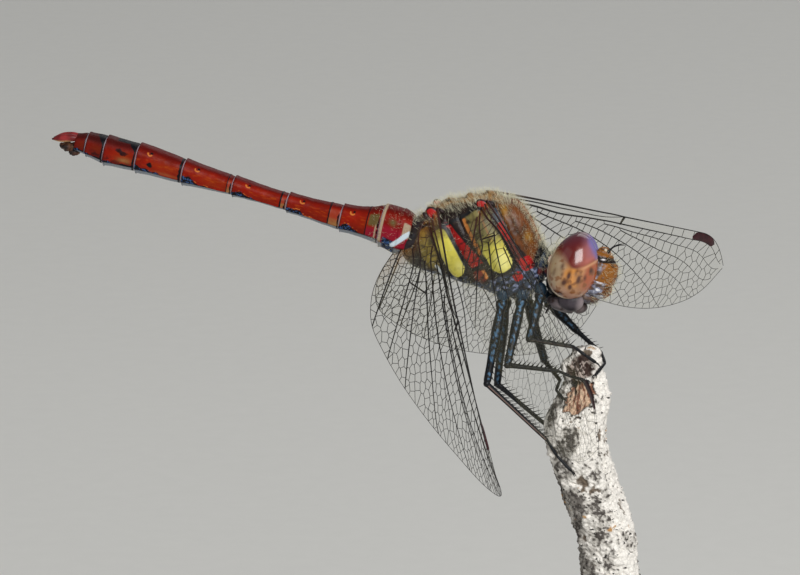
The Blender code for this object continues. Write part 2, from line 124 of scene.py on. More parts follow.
# ---- tail ----
CERCUS_PATH = [(-28.9, 0.36, 0.62), (-29.45, 0.42, 0.52), (-30.05, 0.4, 0.34), (-30.65, 0.29, 0.13)]
CERCUS_RADII = [0.2, 0.27, 0.25, 0.05]
EPIPROCT_PATH = [(-28.85, 0, -0.1), (-29.4, 0, -0.22), (-29.8, 0, -0.2), (-30.05, 0, -0.1)]
EPIPROCT_RADII = [0.33, 0.33, 0.26, 0.08]

# ---- wings ----
TIP_ROUND_START = 0.86
TIP_ROUND_DEPTH = 2.1
# the back edge as (span share, mm behind the front line)
FORE_OUTLINE = [(0, 1.3), (0.08, 3.6), (0.2, 5.5), (0.42, 6.4), (0.68, 6.8), (0.88, 5.7), (0.96, 4.1),
                (1, 2.3)]
HIND_OUTLINE = [(0, 3.4), (0.03, 6.2), (0.09, 8.3), (0.2, 8.9), (0.34, 8.7), (0.6, 7.6), (0.82, 6.1),
                (0.94, 4.2), (1, 2.3)]
FORE_HINGE = (0.47, 1.54, 3.3)
HIND_HINGE = (-2.86, 1.3, 1.9)
# name: kind, side, sweep, droop, downward bend, pitch at root, pitch at tip (degrees)
WINGS = {
    "wing_fore_right": ("fore", -1, 28.6, 7.9, 11.4, -57.1, -92.3),
    "wing_fore_left": ("fore", 1, 32.6, 9.7, 0.8, -53.3, -80.2),
    "wing_hind_right": ("hind", -1, 23.7, 26.9, -11.7, -52.7, -111.5),
    "wing_hind_left": ("hind", 1, 23.4, 27, -17.7, -53.1, -84),
}
# outline, length in mm, hinge, and where along the front edge its notch, the nodus, is
WING_KINDS = {"fore": (FORE_OUTLINE, 28.5, FORE_HINGE, 0.53), "hind": (HIND_OUTLINE, 27.5, HIND_HINGE, 0.43)}
STIGMA_SPAN = (0.83, 0.925)
STIGMA_DEPTH = 0.62                     # chordwise, in mm
# long veins as (span share, chord share) points, from the front edge back
VEINS = {"fore": {
    "subcosta": [(0, 0.2), (0.1, 0.075), (0.3, 0.055), (0.47, 0.045), (0.53, 0)],
    "radius": [(0, 0.4), (0.1, 0.15), (0.3, 0.115), (0.53, 0.085), (0.83, 0.1), (0.925, 0.13), (0.985, 0.28)],
    "sector_one": [(0.47, 0.13), (0.6, 0.155), (0.75, 0.19), (0.9, 0.3), (0.985, 0.55)],
    "sector_two": [(0.55, 0.17), (0.7, 0.27), (0.85, 0.42), (0.97, 0.8)],
    "inter_sector": [(0.36, 0.175), (0.5, 0.24), (0.7, 0.42), (0.86, 0.68), (0.93, 1)],
    "sector_three": [(0.2, 0.17), (0.4, 0.27), (0.6, 0.47), (0.76, 0.76), (0.83, 1)],
    "media_front": [(0.12, 0.2), (0.3, 0.37), (0.5, 0.57), (0.65, 0.83), (0.71, 1)],
    "media_rear": [(0.13, 0.36), (0.26, 0.53), (0.42, 0.76), (0.52, 1)],
    "cubitus": [(0, 0.55), (0.12, 0.47), (0.16, 0.62), (0.24, 0.82), (0.3, 1)],
    "anal": [(0, 0.72), (0.08, 0.78), (0.14, 1)],
}, "hind": {
    "subcosta": [(0, 0.1), (0.1, 0.06), (0.3, 0.045), (0.38, 0.035), (0.43, 0)],
    "radius": [(0, 0.2), (0.1, 0.11), (0.3, 0.09), (0.43, 0.075), (0.83, 0.1), (0.925, 0.13), (0.985, 0.28)],
    "sector_one": [(0.38, 0.11), (0.55, 0.14), (0.75, 0.19), (0.9, 0.3), (0.985, 0.55)],
    "sector_two": [(0.48, 0.15), (0.65, 0.25), (0.85, 0.44), (0.97, 0.8)],
    "inter_sector": [(0.28, 0.13), (0.45, 0.2), (0.67, 0.4), (0.85, 0.68), (0.92, 1)],
    "sector_three": [(0.16, 0.13), (0.35, 0.22), (0.57, 0.42), (0.75, 0.74), (0.82, 1)],
    "media_front": [(0.1, 0.14), (0.28, 0.27), (0.48, 0.5), (0.63, 0.8), (0.69, 1)],
    "media_rear": [(0.12, 0.25), (0.25, 0.39), (0.4, 0.66), (0.51, 1)],
    "cubitus": [(0, 0.36), (0.1, 0.28), (0.19, 0.46), (0.27, 0.72), (0.33, 1)],
    "anal_front": [(0, 0.5), (0.08, 0.4), (0.15, 0.58), (0.2, 0.82), (0.23, 1)],
    "anal_rear": [(0, 0.68), (0.05, 0.7), (0.1, 0.86), (0.13, 1)],
}}

# the share by which the right forewing's outer veins are finer than the other wings' veins
FINER_NET = {"wing_fore_right": 0.5}
# the stout slanting vein that closes the triangle near each wing's root
CROSS_VEINS = {"fore": [(0.105, 0.44), (0.135, 0.2)], "hind": [(0.131, 0.467), (0.202, 0.344)]}

# ---- legs: hip, knee, ankle, then the foot's points, in stance axes ----
LEGS = {
    "hind_right": [(1.9, -1.5, -3.9), (0.8, -3.2, -9.5), (5, -3.3, -13.5),
                   (5.7, -3.5, -14.6), (6.7, -3.8, -15.6)],
    "hind_left": [(2.2, 0.5, -4.2), (1.6, 1.3, -10.6), (5, -0.2, -13.2),
                  (5.6, 0.2, -13.9), (6.5, 0.6, -14.5)],
    "mid_right": [(3.25, -1.7, -3.8), (2.2, -3.9, -8), (5.8, -2.8, -8.7), (6.6, -3.1, -9), (7.6, -3.4, -9.2)],
    "mid_left": [(3.6, 0.35, -4.3), (4.9, 1.7, -9), (5.95, -0.5, -9.9),
                 (5.65, -1.7, -10.3), (6.1, -3.1, -10.6)],
    "fore_right": [(4.55, -1.7, -3.45), (3.7, -3.7, -6.2), (6.84, -2.9, -6.95),
                   (7.63, -3.2, -7.48), (8.36, -3.1, -8.02)],
    "fore_left": [(5.05, 0.2, -4.4), (7.13, 0.9, -6.67), (8.85, -0.3, -8.02),
                  (9.03, -1.7, -8.4), (8.35, -3.15, -8.85)],
}

# ---- twig ----
TWIG_TOP = (8, -1.6, -7.1)
TWIG_FOOT = (11.4, -1.6, -33)
TWIG_RADIUS = [(0, 0.6), (0.03, 1.05), (0.06, 1.34), (0.1, 1.38), (0.15, 1.74), (0.2, 1.96), (0.4, 2),
               (0.62, 1.85), (1, 1.8)]
TWIG_SWAY = [(0, -0.1), (0.05, -0.72), (0.1, -0.74), (0.2, -1.58), (0.32, -1.6), (0.47, -0.9), (0.62, -0.5),
             (1, 0)]


def linear(hex_colour):
    """An sRGB hex colour as linear red, green, blue and a full alpha."""
    parts = [int(hex_colour[i:i + 2], 16) / 255 for i in (1, 3, 5)]
    return (*[c / 12.92 if c <= 0.04045 else ((c + 0.055) / 1.055) ** 2.4 for c in parts], 1)


# ---- settings ----


def length(name, description, default_mm):
    """A length property, given in millimetres and kept in metres."""
    return bpy.props.FloatProperty(
        name=name, description=description, default=default_mm * MM, precision=5, min=0, unit="LENGTH"
    )


def colour(name, description, hex_colour):
    """A colour property with an sRGB hex default."""
    return bpy.props.FloatVectorProperty(
        name=name, description=description, default=linear(hex_colour)[:3], size=3, min=0, max=1,
        subtype="COLOR",
    )


class DragonflySizes(bpy.types.PropertyGroup):
    """Fine sizes that the solids don't carry."""

    cell: length("Wing cell", "Width of a wing cell in the middle of the wing", 0.72)
    vein: length("Fine vein", "Thickness of the veins between wing cells", 0.046)
    long_vein: length("Long vein", "Thickness of the long veins at the wing root", 0.15)
    pleat: length("Wing pleat", "Height of the ridges that the long veins run along", 0.12)
    hair: length("Body hair", "Length of the pale hair on the thorax", 0.62)
    spine: length("Leg spine", "Length of the spines on the shins", 0.5)
    crust: length("Lichen crust", "Height of the crust and bark relief on the twig", 0.22)


class DragonflyColours(bpy.types.PropertyGroup):
    """Main colours of the animal, its perch and its stand."""

    scarlet: colour("Abdomen side", "Orange red of the abdomen's sides", "#8A1604")
    crimson: colour("Abdomen top", "Deeper red along the abdomen's back", "#560A06")
    yellow: colour("Side patch", "Yellow of the thorax patches", "#CFC452")
    red_band: colour("Side band", "Red of the bands between the yellow patches", "#A01414")
    brown: colour("Thorax front", "Golden brown of the thorax front", "#6A3A12")
    eye_top: colour("Upper eye", "Dark red of the upper eye", "#5C0C08")
    eye_low: colour("Lower eye", "Tan of the lower eye", "#AC8462")
    leg: colour("Leg", "Near black of the legs", "#0F1116")
    lichen: colour("Lichen", "Pale crust on the twig", "#F6F1E9")
    hair: colour("Hair", "Cream of the body hair", "#F2EDCE")


# ---- shared maths ----


def smooth(points, at):
    """Values of a smooth curve through (place, value) points, level where they turn back."""
    x, y = np.array(points, float).T
    slope = np.diff(y) / np.diff(x)
    tangent = np.concatenate([slope[:1], (slope[1:] + slope[:-1]) / 2, slope[-1:]])
    tangent[np.concatenate([[False], slope[1:] * slope[:-1] <= 0, [False]])] = 0
    at = np.clip(np.asarray(at, float), x[0], x[-1])
    i = np.clip(np.searchsorted(x, at, side="right") - 1, 0, len(slope) - 1)
    width = x[i + 1] - x[i]
    t = (at - x[i]) / width
    rise = width * ((t**3 - 2 * t**2 + t) * tangent[i] + (t**3 - t**2) * tangent[i + 1])
    return y[i] + (y[i + 1] - y[i]) * (3 * t**2 - 2 * t**3) + rise


def step(low, high, value):
    """A soft step from 0 at low to 1 at high."""
    t = clamp((np.asarray(value, float) - low) / (high - low))
    return t * t * (3 - 2 * t)


def clamp(values):
    """Values held between 0 and 1."""
    return np.clip(values, 0, 1)


def eased(count, ease):
    """Shares from 0 to 1, drawn together towards both ends."""
    return ease * (0.5 - 0.5 * np.cos(np.linspace(0, math.pi, count))) + (1 - ease) * np.linspace(0, 1, count)


def fall(low, high, value):
    """A soft step from 1 at low to 0 at high."""
    return 1 - step(low, high, value)


def bump(value, middle, reach):
    """A soft hill of height 1 at the middle, gone at the reach."""
    return np.exp(-(((np.asarray(value, float) - middle) / (reach * 0.6)) ** 2))


def box_distance(x, y, low, high, rounding):
    """Signed distance in mm to a box with rounded corners, negative inside."""
    middle = ((low[0] + high[0]) / 2, (low[1] + high[1]) / 2)
    half = ((high[0] - low[0]) / 2 - rounding, (high[1] - low[1]) / 2 - rounding)
    dx, dy = np.abs(x - middle[0]) - half[0], np.abs(y - middle[1]) - half[1]
    return np.hypot(np.maximum(dx, 0), np.maximum(dy, 0)) + np.minimum(np.maximum(dx, dy), 0) - rounding


def squared(values, power):
    """Sines or cosines reshaped so that a round outline turns squarer as the power falls below 1."""
    return np.sign(values) * np.abs(values) ** power


def circle(count):
    """Angles spaced evenly round a circle."""
    return np.linspace(0, 2 * math.pi, count, endpoint=False)


def unit(vectors):
    """Vectors scaled to length 1."""
    return vectors / np.maximum(np.linalg.norm(vectors, axis=-1, keepdims=True), 1e-12)


def thorax_point():
    """The point that both body and stance axes start from, in metres."""
    low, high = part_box("stand_base")
    middle = Vector(((low[0] + high[0]) / 2, (low[1] + high[1]) / 2, low[2]))
    return middle + Vector(THORAX_ABOVE_BASE) * MM


def to_world(points, in_body=True):
    """Millimetre points in body or stance axes as metres in the stand's axes."""
    points = np.asarray(points, float) * MM
    if in_body:
        turn = np.array(Euler((0, BODY_PITCH, BODY_YAW)).to_matrix())
        points = points @ turn.T
    return points + np.array(thorax_point())


def rough(points, scale_mm, seed=0, octaves=3):
    """Smooth random values, about -1 to 1, whose lumps are about the given size."""
    shift = Vector((seed * 7.3, seed * 3.1, seed * 5.7))
    points = np.asarray(points)
    values = [noise.fractal(Vector(p) / scale_mm + shift, 1, 2, octaves) for p in points.reshape(-1, 3)]
    return np.array(values).reshape(points.shape[:-1])


# ---- mesh helpers ----
# A shape is (points, face arrays, fields): a field is one number for each point, which a material reads.


def lattice(rows, columns, closed=True):
    """Quads over rows x columns of points. A closed lattice joins its last column to the first."""
    here = np.arange(columns if closed else columns - 1)[None, :]
    beside = (here + 1) % columns
    row = np.arange(rows - 1)[:, None] * columns
    below = row + columns
    return np.stack([row + here, row + beside, below + beside, below + here], axis=-1).reshape(-1, 4)


def sleeve(grid, fields=None):
    """A closed skin over rings of points, with a fan at each end."""
    rows, columns = grid.shape[:2]
    points = np.concatenate([grid.reshape(-1, 3), grid[0].mean(axis=0)[None], grid[-1].mean(axis=0)[None]])
    i = np.arange(columns)
    j = (i + 1) % columns
    first, last = rows * columns, rows * columns + 1
    start = np.stack([np.full(columns, first), j, i], axis=1)
    end = np.stack([np.full(columns, last), i + (rows - 1) * columns, j + (rows - 1) * columns], axis=1)
    full = {}
    for name, values in (fields or {}).items():
        values = np.broadcast_to(values, (rows, columns))
        full[name] = np.concatenate([values.ravel(), [values[0].mean(), values[-1].mean()]])
    return points, [lattice(rows, columns), start, end], full


def join(shapes):
    """Several shapes as one. A field that a shape lacks is 0 there."""
    names = {name for shape in shapes for name in shape[2]}
    points, faces, first = [], [], 0
    fields = {name: [] for name in sorted(names)}
    for shape_points, shape_faces, shape_fields in shapes:
        points.append(shape_points)
        faces += [np.asarray(part) + first for part in shape_faces]
        first += len(shape_points)
        for name in fields:
            fields[name].append(np.asarray(shape_fields.get(name, np.zeros(len(shape_points)))))
    return np.concatenate(points), faces, {name: np.concatenate(parts) for name, parts in fields.items()}


def with_fields(shape, **fields):
    """The same shape with more fields, each one number or one for each point."""
    added = {name: np.broadcast_to(values, len(shape[0])) for name, values in fields.items()}
    return shape[0], shape[1], {**shape[2], **added}


def body_rings(places, rings, angle, power, flare=0):
    """A grid of skin points round the body's axis from a table of rings, and its half widths."""
    top, bottom, half = (smooth([(row[0], row[k]) for row in rings], places) for k in (1, 2, 3))
    side = (half + flare)[:, None] * squared(np.sin(angle), power)
    tall = ((top - bottom) / 2 + flare)[:, None]
    rise = ((top + bottom) / 2)[:, None] + tall * squared(np.cos(angle), power)
    return np.stack([np.broadcast_to(places[:, None], side.shape), side, rise], axis=-1), half[:, None]


def grid_normals(grid):
    """Outward directions at each point of closed rings."""
    around = np.roll(grid, -1, axis=1) - np.roll(grid, 1, axis=1)
    along = np.gradient(grid, axis=0)
    normals = unit(np.cross(around, along))
    outward = grid - grid.mean(axis=1, keepdims=True)
    return normals * np.sign((normals * outward).sum(axis=-1).mean())


def ring_round(along, guide, angles):
    """Unit vectors at right angles to each direction, one for each angle round it."""
    side = unit(np.cross(along, np.array(guide)))
    over = np.cross(side, along)
    return np.cos(angles)[:, None] * side[:, None] + np.sin(angles)[:, None] * over[:, None]


def tube(path, radii, sides=10, turns=1, bulge=0):
    """A round, end-capped tube along a smoothed path, with its share of the length as the field along."""
    path, radii = np.asarray(path, float), np.asarray(radii, float)
    if turns > 1:
        share = np.linspace(0, 1, len(path))
        fine = np.linspace(0, 1, (len(path) - 1) * turns + 1)
        path = np.stack([smooth(list(zip(share, path[:, k])), fine) for k in range(3)], axis=1)
        radii = smooth(list(zip(share, radii)), fine)
    along = unit(np.gradient(path, axis=0))
    ring = ring_round(along, (0.13, 0.31, 0.94), circle(sides))
    share = np.linspace(0, 1, len(path))[:, None]
    fields = {"along": share, "side": ring[..., 1], "over": ring[..., 2]}
    shape = sleeve(path[:, None] + ring * radii[:, None, None], fields)
    shape[0][-2] = path[0] - along[0] * radii[0] * bulge
    shape[0][-1] = path[-1] + along[-1] * radii[-1] * bulge
    return shape


ROD_GUIDE = (0.21, 0.35, 0.91)          # no rod or hair lies this way, so it fixes how each one is rolled
BRISTLE_POINTS = 7                      # two rings of three and a tip


def prism_sides(first, sides):
    """Quads between the two lowest rings of each prism, whose first points are numbered."""
    near = first[:, None] + np.arange(sides)
    beside = first[:, None] + (np.arange(sides) + 1) % sides
    return np.stack([near, beside, beside + sides, near + sides], axis=-1).reshape(-1, 4)


def rods(starts, ends, start_radii, end_radii, sides=4):
    """Many straight open prisms at once, such as fine veins."""
    starts, ends = np.asarray(starts, float), np.asarray(ends, float)
    angles = circle(sides) + math.pi / 4
    ring = ring_round(unit(ends - starts), ROD_GUIDE, angles)
    near = starts[:, None] + ring * np.broadcast_to(start_radii, len(starts))[:, None, None]
    far = ends[:, None] + ring * np.broadcast_to(end_radii, len(starts))[:, None, None]
    points = np.stack([near, far], axis=1).reshape(-1, 3)
    return points, [prism_sides(np.arange(len(starts)) * 2 * sides, sides)], {}


def bristles(roots, tips, radii, sag):
    """Many thin three-sided spikes at once, each bent over by its sag."""
    roots, tips, sag = np.asarray(roots, float), np.asarray(tips, float), np.asarray(sag, float)
    ring = ring_round(unit(tips - roots), ROD_GUIDE, np.array([0, 2, 4]) * math.pi / 3)
    radii = np.broadcast_to(radii, len(roots))[:, None, None]
    middle = roots * 0.45 + tips * 0.55
    near, mid = roots[:, None] + ring * radii, middle[:, None] + ring * radii * 0.6
    points = np.concatenate([near, mid, (tips + sag)[:, None]], axis=1).reshape(-1, 3)
    first = np.arange(len(roots)) * BRISTLE_POINTS
    ends = first[:, None, None] + np.array([(3, 4, 6), (4, 5, 6), (5, 3, 6)])
    caps = first[:, None] + np.array([0, 2, 1])
    share = np.tile([0, 0, 0, 0.55, 0.55, 0.55, 1], len(roots))
    return points, [prism_sides(first, 3), ends.reshape(-1, 3), caps], {"along": share}


def ball(centre, radii, rows=40, columns=64, squareness=1):
    """A rounded solid with poles at its two sides. Its fields nx, ny and nz say where on it a point is."""
    polar = np.linspace(0.02, math.pi - 0.02, rows)[:, None]
    around = circle(columns)[None, :]
    direction = np.stack(
        [np.sin(polar) * np.cos(around), np.cos(polar) + 0 * around, np.sin(polar) * np.sin(around)], axis=-1
    )
    grid = np.array(centre) + squared(direction, squareness) * np.array(radii)
    return sleeve(grid, {"nx": direction[..., 0], "ny": direction[..., 1], "nz": direction[..., 2]})


def skin_grid(shape, columns):
    """The rings of a closed skin, without the two points that close its ends."""
    return shape[0][:-2].reshape(-1, columns, 3)


def facing(fields):
    """Which way each point of a rounded solid faces: forward, sideways and up."""
    return fields["nx"], fields["ny"], fields["nz"]


def lean(points, degrees):
    """Points turned about the body's side axis, so that what stands up leans forward."""
    cosine, sine = math.cos(math.radians(degrees)), math.sin(math.radians(degrees))
    x, y, z = points.T
    return np.stack([x * cosine + z * sine, y, z * cosine - x * sine], axis=1)


def head_turned(shape):
    """A piece of the head, swung to the way that the head is held."""
    points, faces, fields = shape
    turn = np.array(Euler(np.radians(HEAD_TURN)).to_matrix())
    return (points - HEAD_PIVOT) @ turn.T + HEAD_PIVOT, faces, fields


def mirrored(shape):
    """The same shape on the other side of the body."""
    points, faces, fields = shape
    return points * [1, -1, 1], faces, fields


def make_piece(name, shape, material, replaced=(), in_body=True, uv=None, sheet=False):
    """A named mesh of the object that rides on the frame, with float fields that its material reads."""
    points, faces, fields = shape
    world = to_world(points, in_body)
    mesh = bpy.data.meshes.new(name)
    corners = np.concatenate([np.asarray(part).ravel() for part in faces]).astype(np.int32)
    sizes = np.concatenate([np.full(len(part), np.asarray(part).shape[1]) for part in faces])
    starts = np.concatenate([[0], np.cumsum(sizes)[:-1]]).astype(np.int32)
    mesh.vertices.add(len(world))
    mesh.vertices.foreach_set("co", world.astype(np.float32).ravel())
    mesh.loops.add(len(corners))
    mesh.loops.foreach_set("vertex_index", corners)
    mesh.polygons.add(len(starts))
    mesh.polygons.foreach_set("loop_start", starts)
    mesh.update(calc_edges=True)
    if not sheet:
        solid = bmesh.new()
        solid.from_mesh(mesh)
        bmesh.ops.recalc_face_normals(solid, faces=solid.faces)
        solid.to_mesh(mesh)
        solid.free()
    mesh.shade_smooth()
    for field, values in fields.items():
        made = mesh.attributes.new(field, "FLOAT", "POINT")
        made.data.foreach_set("value", np.asarray(values, np.float32))
    if uv is not None:
        layer = mesh.uv_layers.new(name="OFBake")
        used = np.empty(len(mesh.loops), np.int32)
        mesh.loops.foreach_get("vertex_index", used)
        layer.data.foreach_set("uv", np.asarray(uv, np.float32)[used].ravel())
    mesh.materials.append(material)
    piece = bpy.data.objects.new(name, mesh)
    bpy.context.scene.collection.objects.link(piece)
    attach(piece, "root")
    if replaced:
        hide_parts(*replaced)
    return piece


def make_pair(name, shape, material, node, place=lambda half: half):
    """A left piece from its shape, and its mirror image on the right."""
    for side, half in (("left", shape), ("right", mirrored(shape))):
        make_piece(f"{name}_{side}", place(half), material, [f"{node}_{side}"])


# ---- materials ----


def add_node(tree, kind, links=None, stops=None, **settings):
    """Add a shader node with its settings.

    links gives inputs a socket or a value, stops gives a ramp's colours, and a colour may be sRGB hex.
    """
    node = tree.nodes.new("ShaderNode" + kind)
    for key, value in settings.items():
        setattr(node, key, value)
    for key, value in (links or {}).items():
        if isinstance(value, bpy.types.NodeSocket):
            tree.links.new(value, node.inputs[key])
        else:
            node.inputs[key].default_value = linear(value) if isinstance(value, str) else value
    if stops:
        ramp = node.color_ramp.elements
        while len(ramp) < len(stops):
            ramp.new(0.5)
        for element, (place, tint) in zip(ramp, stops):
            element.position = place
            element.color = linear(tint)
    return node


def start_material(name):
    """An empty node material and its object coordinates, which are metres from the stand's base."""
    material = bpy.data.materials.new(name)
    material.use_nodes = True
    tree = material.node_tree
    tree.nodes.clear()
    place = add_node(tree, "TexCoord").outputs["Object"]
    return material, tree, place


def finish_material(tree, height, relief, **inputs):
    """Add the shader, with a bump of the given relief in mm, and the output."""
    links = {name.replace("_", " "): value for name, value in inputs.items()}
    if height is not None:
        raised = add_node(tree, "Bump", {"Height": height, "Distance": relief * MM, "Strength": 1})
        links["Normal"] = raised.outputs["Normal"]
    shader = add_node(tree, "BsdfPrincipled", links)
    add_node(tree, "OutputMaterial", {"Surface": shader.outputs["BSDF"]})


def lay_colours(tree, mixed, fine, layers):
    """Lay colours over a ground, each where its field says: (field, colour, edge width, raggedness)."""
    for field, tint, edge, wander in layers:
        mask = add_node(tree, "Attribute", attribute_name=field).outputs["Fac"]
        ragged = add_node(tree, "Math", {0: fine, 1: wander, 2: mask}, operation="MULTIPLY_ADD").outputs[0]
        low = 0.5 - edge / 2 + wander / 2
        limits = {"Value": ragged, "From Min": low, "From Max": low + edge}
        laid = add_node(tree, "MapRange", limits).outputs[0]
        mixed = add_node(tree, "Mix", {0: laid, 6: mixed, 7: tint}, data_type="RGBA").outputs[2]
    return mixed


def chitin(name, base, shade, layers, rough_range=(0.35, 0.5), grain=0.12, relief=0.006, **extra):
    """Insect cuticle: a mottled ground colour with markings laid over it, each where its field says.

    layers holds (field, colour, edge): a small edge is a crisp marking and 1 is a soft one.
    """
    material, tree, place = start_material(name)
    fine, broad = (
        add_node(tree, "TexNoise", {"Vector": place, "Scale": 1 / (lump * MM), "Detail": detail}).outputs[0]
        for lump, detail in ((grain, 3), (8 * grain, 2))
    )
    tone = add_node(tree, "MapRange", {"Value": broad, "From Min": 0.35, "From Max": 0.65})
    mixed = add_node(tree, "Mix", {0: tone.outputs[0], 6: shade, 7: base}, data_type="RGBA").outputs[2]
    mixed = lay_colours(tree, mixed, fine, [(*layer, 0.3 * (1 - layer[2])) for layer in layers])
    smooth_end, rough_end = rough_range
    polish = {"Value": fine, "From Min": 0.3, "From Max": 0.7, "To Min": smooth_end, "To Max": rough_end}
    roughness = add_node(tree, "MapRange", polish).outputs[0]
    settings = {"Specular_IOR_Level": 0.22, **extra}
    finish_material(tree, fine, relief, Base_Color=mixed, Roughness=roughness, IOR=1.56, **settings)
    return material


def tinted(rgb, factor=1):
    """A linear colour from a property, made lighter or darker, with full alpha."""
    return (*[min(channel * factor, 1) for channel in rgb], 1)


# ---- abdomen ----


